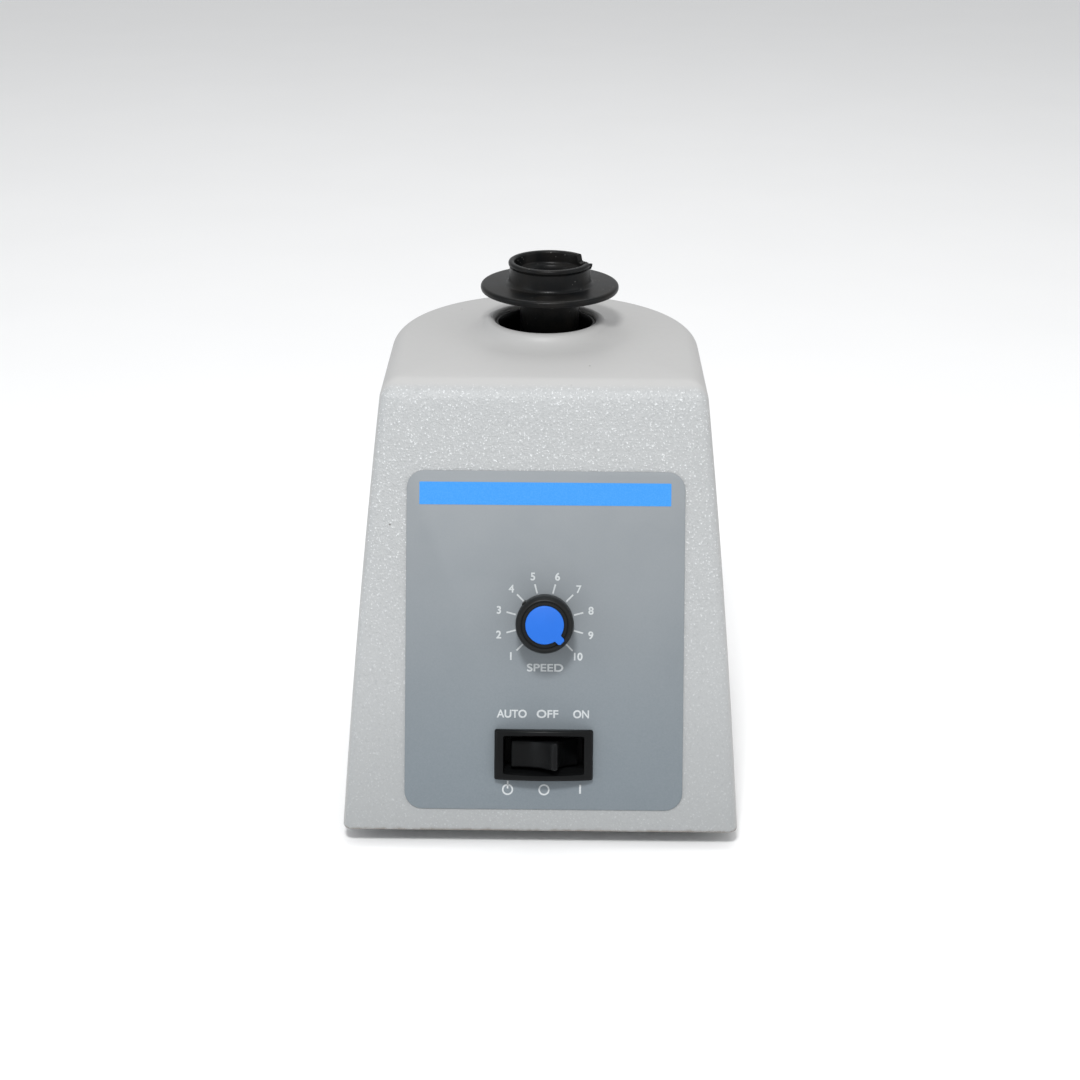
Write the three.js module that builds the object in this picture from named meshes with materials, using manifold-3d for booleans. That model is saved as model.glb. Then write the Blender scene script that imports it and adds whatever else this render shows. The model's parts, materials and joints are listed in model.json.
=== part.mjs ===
// Vortex mixer for laboratory test tubes, as an assembly of its separate pieces.
// Units are millimetres, +Z is up and -Y is the front, where the speed knob and the switch are.
// The origin is on the bench, under the middle of the mixer's bounding box.
//
// How it works: a vertical motor hangs on a plate that three springs hold up against posts of the
// housing. The top of its shaft carries an eccentric pin, and the rubber cup sits on a bearing on
// that pin, so the cup runs round in a small circle. Pressing the cup down moves the whole motor
// down by a small travel, which closes a micro switch. That is what the AUTO position uses.

import * as THREE from "three";
import { mergeVertices } from "three/addons/utils/BufferGeometryUtils.js";
import Module from "manifold-3d";

const wasm = await Module();
wasm.setup();

// ---------------------------------------------------------------- driving dimensions

const GAP = 0.3; // play between pieces that touch on the real mixer

const HOUSING_BOTTOM = 5; // lower edge of the housing above the bench
const HOUSING_TOP = 135; // flat top of the housing
const BASE_HALF_WIDTH = 62;
const TOP_HALF_WIDTH = 51;
const SIDE_BULGE = 0.8; // how far the side walls bow out at half height
const DEPTH = 168;
const FRONT_Y = -DEPTH / 2; // lower edge of the front face
const AXIS_Y = DEPTH / 2 - BASE_HALF_WIDTH; // motor axis, and centre of the round back
const FACE_LEAN = THREE.MathUtils.degToRad(22.5); // the front face leans back from upright
const WALL = 3.5;
const FRONT_CORNER = 3; // radius of the two upright front corners
const TOP_FILLET = 5.5; // radius where the walls turn into the top

const COLLAR_TOP = 140.2;
const COLLAR_BORE = 16.9; // radius of the opening that the cup's neck stands in

const ORBIT_RADIUS = 2.45; // the cup runs round a 4.9 mm circle
const ORBIT_ANGLE = THREE.MathUtils.degToRad(57); // where on that circle the cup rests

const CUP_RIM_Z = 159.4;
const CUP_RIM_RADIUS = 13.9;
const FLANGE_TOP_Z = 151.7;
const FLANGE_RADIUS = 23.1;
const NECK_RADIUS = 9.9;

const FACE_X = 0.9; // the label, the knob and the switch sit a little right of the middle
const LABEL_HALF_WIDTH = 43.5;
const LABEL_BOTTOM = 7.1; // measured up the sloping face from its lower edge, as the next four are
const LABEL_TOP = 113;
const KNOB_CENTRE = 65.7;
const SWITCH_CENTRE = 24.5;
const KNOB_RADIUS = 9;
const KNOB_POINTS_AT = THREE.MathUtils.degToRad(-45); // pointer at the top mark of the dial

const PAD_Y = 77; // flat floor of the recess at the back, where the mains inlet is
const PAD_HALF_WIDTH = 20;
const PAD_BOTTOM = 12.5;
const PAD_TOP = 56;
const INLET_Z = 34; // centre of the inlet

const PLATE_BOTTOM = 7; // base plate
const PLATE_TOP = 9;
const STATOR_BOTTOM = 46;
const STATOR_TOP = 76;
const MOTOR_PLATE_BOTTOM = 92.6; // plate that the motor hangs on
const MOTOR_PLATE_TOP = 95.1;
const GUIDE_CIRCLE = 40; // radius of the circle that the three guide screws stand on
const BOLT_OFFSET = 30; // motor bolts and end bell legs, left-right and front-back of the axis
const SHAFT_RADIUS = 4;
const BEARING_OUTER = 11; // all three ball bearings are 22 x 8 x 7
const BEARING_WIDTH = 7;

const FEET = [
  [-50, -64],
  [50, -64],
  [37, 55],
  [-37, 55],
];
const FOOT_RADIUS = 7.5;

const BOLT_RADIUS = 2; // every long screw is an M4
const BOLT_HOLE = 2.3;
const BOSS_TOP = 26; // top of the bosses that take the foot screws
const GUIDE_HEAD_TOP = 84; // the press springs stand on the heads of the guide screws
const BOARD_BOTTOM = 14; // circuit board
const BOARD_TOP = 15.6;

const WIDE = 32; // sides of a wide round piece
const ROUND = 24; // sides of a middling one
const SMALL = 12; // sides of a small one

// ---------------------------------------------------------------- materials

function finish(colour, roughness, metalness = 0) {
  return new THREE.MeshStandardMaterial({ color: colour, roughness, metalness });
}

const PAINT = finish(0xd3d6d5, 0.55);
const LABEL = finish(0x9aa5ad, 0.4);
const RUBBER = finish(0x1a1a1b, 0.6);
const BLACK_PLASTIC = finish(0x17181a, 0.45);
const BLUE_PLASTIC = finish(0x2c7de8, 0.4);
const STEEL = finish(0xb4b7ba, 0.35, 1);
const LAMINATION = finish(0x6d7075, 0.5, 0.9);
const ALUMINIUM = finish(0xc9cbcd, 0.4, 0.9);
const BRASS = finish(0xc5a253, 0.35, 1);
const COPPER = finish(0xa85d2c, 0.4, 0.8);
const BOARD = finish(0x1f6b3a, 0.6);
const AMBER = finish(0xc98b2a, 0.5);
const WIRE_BROWN = finish(0x5a3a22, 0.5);
const WIRE_GREEN = finish(0x3f8f3a, 0.5);
const GLASS = finish(0xdfe6e8, 0.1);

// ---------------------------------------------------------------- solids

// A closed three.js geometry as a manifold solid.
function solid(geometry) {
  const g = geometry.clone();
  g.deleteAttribute("normal");
  g.deleteAttribute("uv");
  const merged = mergeVertices(g, 1e-4);
  return new wasm.Manifold(
    new wasm.Mesh({
      numProp: 3,
      vertProperties: merged.attributes.position.array,
      triVerts: new Uint32Array(merged.index.array),
    }),
  );
}

function geometryOf(body) {
  const mesh = body.getMesh();
  const g = new THREE.BufferGeometry();
  g.setAttribute("position", new THREE.BufferAttribute(mesh.vertProperties, 3));
  g.setIndex(new THREE.BufferAttribute(mesh.triVerts, 1));
  g.computeVertexNormals();
  return g;
}

function joined(first, ...others) {
  return geometryOf(others.reduce((sum, g) => sum.add(solid(g)), solid(first)));
}

function cut(base, ...tools) {
  return geometryOf(tools.reduce((rest, g) => rest.subtract(solid(g)), solid(base)));
}

function common(a, b) {
  return geometryOf(solid(a).intersect(solid(b)));
}

// A profile of [radius, height] points turned about Z. The first and last points are joined.
function turned(profile, sides = ROUND) {
  const points = profile.map(([r, z]) => new THREE.Vector2(r, z));
  if (THREE.ShapeUtils.area(points) < 0) points.reverse();
  points.push(points[0].clone());
  return new THREE.LatheGeometry(points, sides).rotateX(Math.PI / 2);
}

// A round bar, or with a bore a round tube, between two heights.
function round(radius, low, high, bore = 0, sides = ROUND) {
  return turned(
    [
      [bore, low],
      [radius, low],
      [radius, high],
      [bore, high],
    ],
    sides,
  );
}

// A box from one corner to the opposite one.
function block(x0, x1, y0, y1, z0, z1) {
  const g = new THREE.BoxGeometry(x1 - x0, y1 - y0, z1 - z0);
  return g.translate((x0 + x1) / 2, (y0 + y1) / 2, (z0 + z1) / 2);
}

// A round hole for a flat shape.
function circlePath(x, y, radius, sides = SMALL) {
  const circle = new THREE.Path().absarc(x, y, radius, 0, 2 * Math.PI, true);
  return new THREE.Path(circle.getPoints(sides / 2).slice(0, -1));
}

// A rectangle with round corners, centred on x, y.
function roundedRect(width, height, radius, x = 0, y = 0) {
  const a = width / 2 - radius;
  const b = height / 2 - radius;
  const shape = new THREE.Shape();
  shape.absarc(x + a, y - b, radius, -Math.PI / 2, 0);
  shape.absarc(x + a, y + b, radius, 0, Math.PI / 2);
  shape.absarc(x - a, y + b, radius, Math.PI / 2, Math.PI);
  shape.absarc(x - a, y - b, radius, Math.PI, 1.5 * Math.PI);
  return shape;
}

// A flat shape raised from one height to another.
function raised(shape, low, high, curveSegments = 6) {
  const depth = high - low;
  const g = new THREE.ExtrudeGeometry(shape, { depth, bevelEnabled: false, curveSegments });
  return g.translate(0, 0, low);
}

// A shape drawn in X and height, and pushed through from y0 to y1.
function pushedAlongY(shape, y0, y1, curveSegments = 6) {
  return raised(shape, -y1, -y0, curveSegments).rotateX(Math.PI / 2);
}

// Rings of equally many points, joined into one closed skin with flat ends.
function loft(rings) {
  const sides = rings[0].length;
  const position = rings.flat().flatMap((p) => [p.x, p.y, p.z]);
  const index = [];
  for (let k = 0; k + 1 < rings.length; k++) {
    for (let i = 0; i < sides; i++) {
      const a = k * sides + i;
      const b = k * sides + ((i + 1) % sides);
      index.push(a, b, b + sides, a, b + sides, a + sides);
    }
  }
  const last = (rings.length - 1) * sides;
  for (const [a, b, c] of THREE.ShapeUtils.triangulateShape(rings[0], [])) {
    index.push(a, c, b, last + a, last + b, last + c);
  }
  const g = new THREE.BufferGeometry();
  g.setAttribute("position", new THREE.Float32BufferAttribute(position, 3));
  g.setIndex(index);
  return g;
}

// A wire or a spring: a round section of a few sides swept along a curve.
function swept(curve, radius, steps, sides = 8) {
  const section = new THREE.Shape();
  for (let i = 0; i < sides; i++) {
    const angle = (2 * Math.PI * i) / sides;
    const point = [radius * Math.cos(angle), radius * Math.sin(angle)];
    if (i === 0) section.moveTo(...point);
    else section.lineTo(...point);
  }
  const options = { extrudePath: curve, steps, bevelEnabled: false };
  return new THREE.ExtrudeGeometry(section, options);
}

function mesh(name, geometry, material) {
  const m = new THREE.Mesh(geometry, material);
  m.name = name;
  return m;
}

// ---------------------------------------------------------------- housing

function halfWidth(z) {
  const t = (z - HOUSING_BOTTOM) / (HOUSING_TOP - HOUSING_BOTTOM);
  return THREE.MathUtils.lerp(BASE_HALF_WIDTH, TOP_HALF_WIDTH, t) + 4 * SIDE_BULGE * t * (1 - t);
}

function faceY(z) {
  return FRONT_Y + (z - HOUSING_BOTTOM) * Math.tan(FACE_LEAN);
}

// The housing's outline at one height, seen from above: a flat front with two small corners,
// straight sides and a round back. The inset moves it in by the same amount all round.
function outline(z, inset) {
  const half = halfWidth(z) - inset;
  const front = faceY(z) + inset / Math.cos(FACE_LEAN);
  const corner = Math.max(FRONT_CORNER - inset / 2, 2);
  const shape = new THREE.Shape();
  shape.absarc(half - corner, front + corner, corner, -Math.PI / 2, 0);
  shape.absarc(0, AXIS_Y, half, 0, Math.PI);
  shape.absarc(-half + corner, front + corner, corner, Math.PI, 1.5 * Math.PI);
  return shape;
}

function ring(z, inset) {
  const half = halfWidth(z) - inset;
  const front = faceY(z) + inset / Math.cos(FACE_LEAN);
  const corner = Math.max(FRONT_CORNER - inset / 2, 2);
  const points = [];
  const arc = (x, y, radius, from, to, steps) => {
    for (let i = 0; i <= steps; i++) {
      const angle = THREE.MathUtils.lerp(from, to, i / steps);
      points.push(new THREE.Vector3(x + radius * Math.cos(angle), y + radius * Math.sin(angle), z));
    }
  };
  arc(half - corner, front + corner, corner, -Math.PI / 2, 0, 3);
  arc(0, AXIS_Y, half, 0, Math.PI, 20);
  arc(-half + corner, front + corner, corner, Math.PI, 1.5 * Math.PI, 3);
  return points;
}

// The outside of the housing, or with an inset its inside: walls, then the rounded top edge.
function bell(bottom, inset) {
  const top = HOUSING_TOP - inset;
  const fillet = TOP_FILLET - inset;
  const rings = [];
  const wallSteps = inset ? 2 : 3;
  for (let i = 0; i < wallSteps; i++) {
    rings.push(ring(THREE.MathUtils.lerp(bottom, top - fillet, i / wallSteps), inset));
  }
  const filletSteps = inset ? 2 : 4;
  for (let i = 0; i <= filletSteps; i++) {
    const angle = (Math.PI / 2) * (i / filletSteps);
    const z = top - fillet + fillet * Math.sin(angle);
    rings.push(ring(z, inset + fillet * (1 - Math.cos(angle))));
  }
  return loft(rings);
}

// The three places where the motor's plate hangs, one at the back and two in front.
const guides = [90, 210, 330].map((degrees) => {
  const angle = THREE.MathUtils.degToRad(degrees);
  return [GUIDE_CIRCLE * Math.cos(angle), AXIS_Y + GUIDE_CIRCLE * Math.sin(angle)];
});

// Turns and moves a piece that is drawn flat, X across and Z up, with Y into the mixer, onto the
// sloping front face.
function ontoFace(g) {
  return g.rotateX(-FACE_LEAN).translate(FACE_X, FRONT_Y, HOUSING_BOTTOM);
}

// Thin web that ties a foot's boss to the side wall.
function bossWeb(x, y, low) {
  const left = x < 0 ? -BASE_HALF_WIDTH : x;
  const right = x < 0 ? x : BASE_HALF_WIDTH;
  return block(left, right, y - 1.2, y + 1.2, low, BOSS_TOP);
}

function housing() {
  const postEnd = MOTOR_PLATE_TOP + GAP;
  const bossEnd = PLATE_TOP + GAP;
  const outside = bell(HOUSING_BOTTOM, 0);
  const inserts = joined(
    block(-26, 26, PAD_Y - WALL, PAD_Y + 6, PLATE_TOP + 2 * GAP, PAD_TOP + 5),
    ...guides.map(([x, y]) => round(5, postEnd, HOUSING_TOP - 1, 0, SMALL).translate(x, y, 0)),
    ...FEET.map(([x, y]) => round(5.5, bossEnd, BOSS_TOP, 0, SMALL).translate(x, y, 0)),
    ...FEET.map(([x, y]) => bossWeb(x, y, bossEnd)),
  );
  const shell = cut(outside, bell(HOUSING_BOTTOM - 1, WALL));
  const collar = turned(
    [
      [28, HOUSING_TOP - 1],
      [28, HOUSING_TOP],
      [25.4, HOUSING_TOP + 0.5],
      [22.8, HOUSING_TOP + 1.9],
      [21, HOUSING_TOP + 3.5],
      [19.6, COLLAR_TOP - 0.6],
      [18.3, COLLAR_TOP],
      [17.3, COLLAR_TOP - 0.4],
      [COLLAR_BORE, COLLAR_TOP - 1.4],
      [COLLAR_BORE, HOUSING_TOP - 1],
    ],
    WIDE,
  ).translate(0, AXIS_Y, 0);
  const neckHole = round(COLLAR_BORE, HOUSING_TOP - 8, COLLAR_TOP + 1, 0, WIDE);
  return cut(
    joined(shell, common(outside, inserts), collar),
    neckHole.translate(0, AXIS_Y, 0),
    block(-PAD_HALF_WIDTH, PAD_HALF_WIDTH, PAD_Y, PAD_Y + 10, PAD_BOTTOM, PAD_TOP),
    block(-14.1, 14.1, PAD_Y - 10, PAD_Y + 2, INLET_Z - 17.6, INLET_Z + 17.6),
    ...guides.map(([x, y]) => {
      return round(BOLT_HOLE, postEnd - 1, postEnd + 17, 0, SMALL).translate(x, y, 0);
    }),
    ...FEET.map(([x, y]) => round(BOLT_HOLE, bossEnd - 1, 24, 0, SMALL).translate(x, y, 0)),
    ontoFace(bushingHole(3.9, -2, WALL + 4)),
    ontoFace(block(-13.6, 13.6, -2, WALL + 4, SWITCH_CENTRE - 6.9, SWITCH_CENTRE + 6.9)),
  );
}

// A round plug along Y at the knob's place on the face.
function bushingHole(radius, y0, y1) {
  return round(radius, -y1, -y0, 0, SMALL).rotateX(Math.PI / 2).translate(0, 0, KNOB_CENTRE);
}

// Printed overlay on the front face, 0.3 mm thick, cut out round the knob's bushing and the switch.
function controlLabel() {
  const height = LABEL_TOP - LABEL_BOTTOM;
  const shape = roundedRect(2 * LABEL_HALF_WIDTH, height, 5.6, 0, LABEL_BOTTOM + height / 2);
  shape.holes.push(circlePath(0, KNOB_CENTRE, 6.2, 24));
  const slot = roundedRect(27.6, 14.2, 0.5, 0, SWITCH_CENTRE);
  shape.holes.push(new THREE.Path(slot.getPoints(2).reverse()));
  return pushedAlongY(shape, -2 * GAP, -GAP);
}

// Black edge ring in the housing's opening, round the cup's neck.
function collarLiner() {
  const outer = COLLAR_BORE - GAP;
  return turned(
    [
      [outer, HOUSING_TOP - WALL - 2.5],
      [outer, COLLAR_TOP - 1.6],
      [outer - 1.2, COLLAR_TOP - 2.2],
      [outer - 1.2, HOUSING_TOP - WALL - 2.5],
    ],
    WIDE,
  ).translate(0, AXIS_Y, 0);
}

// Steel floor, with vent slots under the fan, four standoffs for the circuit board and a tab
// that holds the micro switch.
function basePlate() {
  const shape = outline(PLATE_TOP, WALL + 0.4);
  for (const [x, y] of FEET) shape.holes.push(circlePath(x, y, BOLT_HOLE));
  const slots = [-15, -9, -3, 3, 9, 15];
  for (const x of slots) {
    const slot = roundedRect(2.4, 26, 1.1, x, AXIS_Y);
    shape.holes.push(new THREE.Path(slot.getPoints(1).reverse()));
  }
  const standoffs = [
    [-36, -41],
    [36, -41],
    [-36, -21],
    [36, -21],
  ];
  return joined(
    raised(shape, PLATE_BOTTOM, PLATE_TOP, 10),
    ...standoffs.map(([x, y]) => round(2.5, PLATE_TOP - 0.5, BOARD_BOTTOM - GAP, 0, SMALL).translate(x, y, 0)),
    block(20, 40, -4.5, -3, PLATE_TOP - 0.5, 29),
  );
}

// Rubber foot with a recess for its screw.
function foot() {
  return turned(
    [
      [BOLT_HOLE, 4.9],
      [4.4, 4.9],
      [4.4, 0],
      [FOOT_RADIUS - 1, 0],
      [FOOT_RADIUS - 0.4, 0.6],
      [FOOT_RADIUS, PLATE_BOTTOM - GAP],
      [BOLT_HOLE, PLATE_BOTTOM - GAP],
    ],
    16,
  );
}

// Pan head screw, head down. It holds a foot and the base plate to the housing.
function footScrew() {
  const screw = turned(
    [
      [0, 1.9],
      [2.6, 2.1],
      [3.8, 3],
      [3.8, 4.6],
      [BOLT_RADIUS, 4.6],
      [BOLT_RADIUS, 22],
      [0, 23],
    ],
    SMALL,
  );
  return cut(screw, block(-2.4, 2.4, -0.5, 0.5, 1, 3), block(-0.5, 0.5, -2.4, 2.4, 1, 3));
}

// ---------------------------------------------------------------- motor

// Two-pole motor core: a square block with a round bore and a window each side of each pole.
function statorStack() {
  const shape = roundedRect(72, 72, 8);
  shape.holes.push(circlePath(0, 0, 17, WIDE));
  for (const x of [-19.5, 19.5]) {
    for (const y of [-25, 25]) {
      const window = roundedRect(11, 10.6, 1, x, y);
      shape.holes.push(new THREE.Path(window.getPoints(2).reverse()));
    }
  }
  for (const x of [-BOLT_OFFSET, BOLT_OFFSET]) {
    for (const y of [-BOLT_OFFSET, BOLT_OFFSET]) shape.holes.push(circlePath(x, y, BOLT_HOLE));
  }
  return raised(shape, STATOR_BOTTOM, STATOR_TOP);
}

// One winding, a flat loop round a pole: up through one window and down through the other.
function fieldCoil() {
  const middle = (STATOR_BOTTOM + STATOR_TOP) / 2;
  const height = STATOR_TOP - STATOR_BOTTOM;
  const loop = roundedRect(43, height + 14, 5, 0, middle);
  const inside = roundedRect(29.4, height + 0.6, 1.2, 0, middle);
  loop.holes.push(new THREE.Path(inside.getPoints(3).reverse()));
  return pushedAlongY(loop, -4.4, 4.4);
}

// End bell: four legs to the core's corners, a cross between them and a boss for a bearing.
// It is drawn with the core below it, and the lower one is the same casting turned over.
function endBell(legs, bossDepth) {
  const thickness = 5;
  const arm = 2 * BOLT_OFFSET * Math.SQRT2;
  const corners = [45, 135].map((d) => THREE.MathUtils.degToRad(d));
  const feet = [];
  for (const x of [-BOLT_OFFSET, BOLT_OFFSET]) {
    for (const y of [-BOLT_OFFSET, BOLT_OFFSET]) {
      feet.push(round(4.6, 0, legs, 0, SMALL).translate(x, y, 0));
    }
  }
  const body = joined(
    round(14.5, legs - bossDepth, legs),
    ...corners.map((a) => {
      return block(-arm / 2, arm / 2, -5, 5, legs - thickness, legs).rotateZ(a);
    }),
    ...feet,
  );
  const boltHoles = [];
  for (const sign of [-1, 1]) {
    const hole = round(BOLT_HOLE, -1, legs + 1, 0, SMALL);
    boltHoles.push(hole.translate(sign * BOLT_OFFSET, sign * BOLT_OFFSET, 0));
  }
  return cut(
    body,
    round(BEARING_OUTER + GAP, legs - BEARING_WIDTH - GAP, legs + 1),
    round(6, legs - bossDepth - 1, legs + 1, 0, SMALL),
    ...boltHoles,
  );
}

function ballBearing(low) {
  const high = low + BEARING_WIDTH;
  return turned([
    [SHAFT_RADIUS + GAP, low],
    [6, low],
    [7.6, low + 0.6],
    [9.2, low],
    [BEARING_OUTER, low],
    [BEARING_OUTER, high],
    [9.2, high],
    [7.6, high - 0.6],
    [6, high],
    [SHAFT_RADIUS + GAP, high],
  ]);
}

function motorPlate() {
  const shape = new THREE.Shape().absarc(0, 0, 47, 0, 2 * Math.PI);
  shape.holes.push(circlePath(0, 0, 15, ROUND));
  for (const [x, y] of guides) shape.holes.push(circlePath(x, y - AXIS_Y, 3.4));
  for (const sign of [-1, 1]) {
    shape.holes.push(circlePath(sign * BOLT_OFFSET, sign * BOLT_OFFSET, BOLT_HOLE));
  }
  return raised(shape, MOTOR_PLATE_BOTTOM, MOTOR_PLATE_TOP, 12);
}

// Long bolt through the motor's plate, both end bells and the core.
function throughBolt() {
  const head = MOTOR_PLATE_TOP + GAP;
  return turned(
    [
      [0, 31],
      [BOLT_RADIUS, 31.5],
      [BOLT_RADIUS, head],
      [3.5, head],
      [3.5, head + 2.6],
      [0, head + 2.6],
    ],
    SMALL,
  );
}

// Shoulder screw up into a post of the housing. The motor's plate slides on its shoulder.
function guideScrew() {
  const postEnd = MOTOR_PLATE_TOP + GAP;
  return turned(
    [
      [0, 80.5],
      [5, 80.5],
      [5, GUIDE_HEAD_TOP],
      [3, GUIDE_HEAD_TOP],
      [3, postEnd - 0.2],
      [BOLT_RADIUS, postEnd - 0.2],
      [BOLT_RADIUS, postEnd + 15],
      [0, postEnd + 15],
    ],
    SMALL,
  );
}

// Compression spring on a guide screw, between its head and the motor's plate.
function pressSpring() {
  const wire = 0.5;
  const low = GUIDE_HEAD_TOP + GAP + wire;
  const high = MOTOR_PLATE_BOTTOM - GAP - wire;
  const turns = 3.5;
  class Helix extends THREE.Curve {
    getPoint(t, target = new THREE.Vector3()) {
      const angle = 2 * Math.PI * turns * t;
      const z = THREE.MathUtils.lerp(low, high, t);
      return target.set(4 * Math.cos(angle), 4 * Math.sin(angle), z);
    }
  }
  return swept(new Helix(), wire, 10 * turns, 5);
}

// Rubber gaiter on the motor's plate, round the eccentric and its weight.
function dustGaiter() {
  const low = MOTOR_PLATE_TOP + GAP;
  return turned([
    [27, low],
    [31.5, low],
    [31.5, low + 1.6],
    [28.6, low + 2.6],
    [30.4, low + 4.8],
    [28.6, low + 7],
    [28.6, 111.6],
    [18, 111.6],
    [18, 110.4],
    [27, 110.4],
    [27, low + 7],
    [28.8, low + 4.8],
    [27, low + 2.6],
  ]);
}

// ---------------------------------------------------------------- turning parts of the motor

function motorShaft() {
  return turned(
    [
      [0, 18.6],
      [SHAFT_RADIUS - 0.5, 18.6],
      [SHAFT_RADIUS, 19.1],
      [SHAFT_RADIUS, 106.5],
      [SHAFT_RADIUS - 0.5, 107],
      [0, 107],
    ],
    SMALL,
  );
}

function rotorCore() {
  const bore = SHAFT_RADIUS + GAP;
  return turned([
    [bore, STATOR_BOTTOM - 2],
    [15, STATOR_BOTTOM - 2],
    [15, STATOR_BOTTOM + 1],
    [16.4, STATOR_BOTTOM + 1],
    [16.4, STATOR_TOP - 1],
    [15, STATOR_TOP - 1],
    [15, STATOR_TOP + 2],
    [bore, STATOR_TOP + 2],
  ]);
}

function coolingFan() {
  const low = 20;
  const high = 28.6;
  const blades = [];
  const count = 6;
  for (let i = 0; i < count; i++) {
    const blade = block(5, 24, -0.7, 0.7, -3.6, 3.6).rotateX(THREE.MathUtils.degToRad(38));
    blades.push(blade.rotateZ((2 * Math.PI * i) / count).translate(0, 0, (low + high) / 2));
  }
  const bore = round(SHAFT_RADIUS + GAP, low - 1, high + 1, 0, SMALL);
  return cut(joined(round(7, low, high, 0, SMALL), ...blades), bore);
}

// Hub clamped to the shaft, with the pin that stands off the axis by the orbit radius.
function eccentricHub() {
  const hub = round(12, 96, 109.6);
  const pin = round(SHAFT_RADIUS - GAP, 109, 120.5, 0, SMALL).translate(ORBIT_RADIUS, 0, 0);
  return cut(
    joined(hub, pin),
    round(SHAFT_RADIUS + GAP, 95, 107.3, 0, SMALL),
    round(2, -15, 0, 0, SMALL).rotateY(Math.PI / 2).translate(0, 0, 101),
    block(-13, 13, -13, 13, 104.8, 110).translate(-19, 0, 0),
  );
}

// Half ring opposite the pin, which balances the cup.
function counterweight() {
  const half = block(-30, -1.5, -30, 30, 96, 104);
  return cut(
    common(round(24.5, 96.4, 104, 12.3), half),
    round(2, -30, 0, 0, SMALL).rotateY(Math.PI / 2).translate(0, 0, 101),
  );
}

function hubSetScrew() {
  const screw = round(1.7, 4.6, 11.4, 0, SMALL).rotateY(-Math.PI / 2);
  return screw.translate(0, 0, 101);
}

// ---------------------------------------------------------------- the head that orbits

// Black moulded carrier: it holds the bearing, and its post goes up into the cup.
function headHub() {
  const seat = BEARING_OUTER + GAP;
  return turned([
    [seat, 112],
    [26, 112],
    [26, 113.6],
    [14, 113.6],
    [14, 125.6],
    [6.7, 125.6],
    [6.7, 140.2],
    [6, 141],
    [0, 141],
    [0, 121.6],
    [6, 121.6],
    [seat, 120.4],
  ]);
}

// Rubber cup: a bowl for the tube, a wide flange and a neck that grips the carrier's post.
// A piece of the lip is missing on the right, over 52 degrees.
function mixingCup() {
  const flangeLow = FLANGE_TOP_Z - 2.4;
  const body = turned(
    [
      [7, 126.2],
      [NECK_RADIUS - 0.4, 126.2],
      [NECK_RADIUS, 126.6],
      [NECK_RADIUS, flangeLow - 0.8],
      [NECK_RADIUS + 0.8, flangeLow],
      [FLANGE_RADIUS - 0.7, flangeLow],
      [FLANGE_RADIUS, flangeLow + 0.7],
      [FLANGE_RADIUS, FLANGE_TOP_Z - 0.7],
      [FLANGE_RADIUS - 0.7, FLANGE_TOP_Z],
      [CUP_RIM_RADIUS + 1, FLANGE_TOP_Z],
      [CUP_RIM_RADIUS, CUP_RIM_Z - 0.7],
      [CUP_RIM_RADIUS - 0.7, CUP_RIM_Z],
      [CUP_RIM_RADIUS - 1.7, CUP_RIM_Z],
      [11.7, CUP_RIM_Z - 0.5],
      [11.7, CUP_RIM_Z - 3.6],
      [10.6, CUP_RIM_Z - 4.6],
      [8.4, CUP_RIM_Z - 10],
      [4.6, CUP_RIM_Z - 14],
      [0, CUP_RIM_Z - 15.4],
      [0, 141.3],
      [6.2, 141.3],
      [7, 140.4],
    ],
    WIDE,
  );
  return cut(body, lipNotch());
}

// Wedge that takes the missing piece out of the lip.
function lipNotch() {
  const from = THREE.MathUtils.degToRad(-12);
  const to = THREE.MathUtils.degToRad(40);
  const reach = 20;
  const wedge = new THREE.Shape();
  wedge.moveTo(0, 0);
  wedge.lineTo(reach * Math.cos(from), reach * Math.sin(from));
  wedge.lineTo(reach * Math.cos(to), reach * Math.sin(to));
  return raised(wedge, CUP_RIM_Z - 2.6, CUP_RIM_Z + 2);
}

// ---------------------------------------------------------------- controls on the face

// Potentiometer: a round case behind the wall and a threaded bushing through it.
function potBody() {
  const back = WALL + GAP;
  const profile = [
    [3.3, 3.2],
    [3.5, 3.2],
    [3.5, -back],
    [8.5, -back],
    [8.5, -back - 9],
    [3.3, -back - 9],
  ];
  const tags = block(-6, 6, back + 3, back + 4, -14, -6);
  return joined(turned(profile).rotateX(Math.PI / 2), tags);
}

function potNut() {
  const hexagon = new THREE.Shape();
  for (let i = 0; i < 6; i++) {
    const angle = (Math.PI / 3) * i;
    const point = [5.6 * Math.cos(angle), 5.6 * Math.sin(angle)];
    if (i === 0) hexagon.moveTo(...point);
    else hexagon.lineTo(...point);
  }
  hexagon.holes.push(circlePath(0, 0, 3.8));
  return pushedAlongY(hexagon, -2.8, -GAP);
}

function potShaft() {
  return round(3, -11, 10.4, 0, SMALL).rotateX(Math.PI / 2);
}

// Knob with a rounded shoulder, a rib on its side opposite the pointer and a recess for the cap.
function knobBody() {
  const front = 13.6;
  const body = turned([
    [6.9, 1.2],
    [KNOB_RADIUS, 1.2],
    [KNOB_RADIUS, 9.4],
    [KNOB_RADIUS - 0.5, 11.2],
    [KNOB_RADIUS - 1.7, 12.8],
    [KNOB_RADIUS - 2.8, front],
    [0, front],
    [0, 10.8],
    [3.3, 10.8],
    [3.3, 5.4],
    [6.9, 5.4],
  ]);
  const rib = block(KNOB_RADIUS - 1, KNOB_RADIUS + 0.4, -0.6, 0.6, 1.2, 10.4);
  const recess = raised(capShape(GAP), 12.1, front + 1);
  return cut(
    joined(body, rib.rotateZ(KNOB_POINTS_AT + Math.PI)),
    recess.rotateZ(KNOB_POINTS_AT),
  ).rotateX(Math.PI / 2);
}

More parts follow.
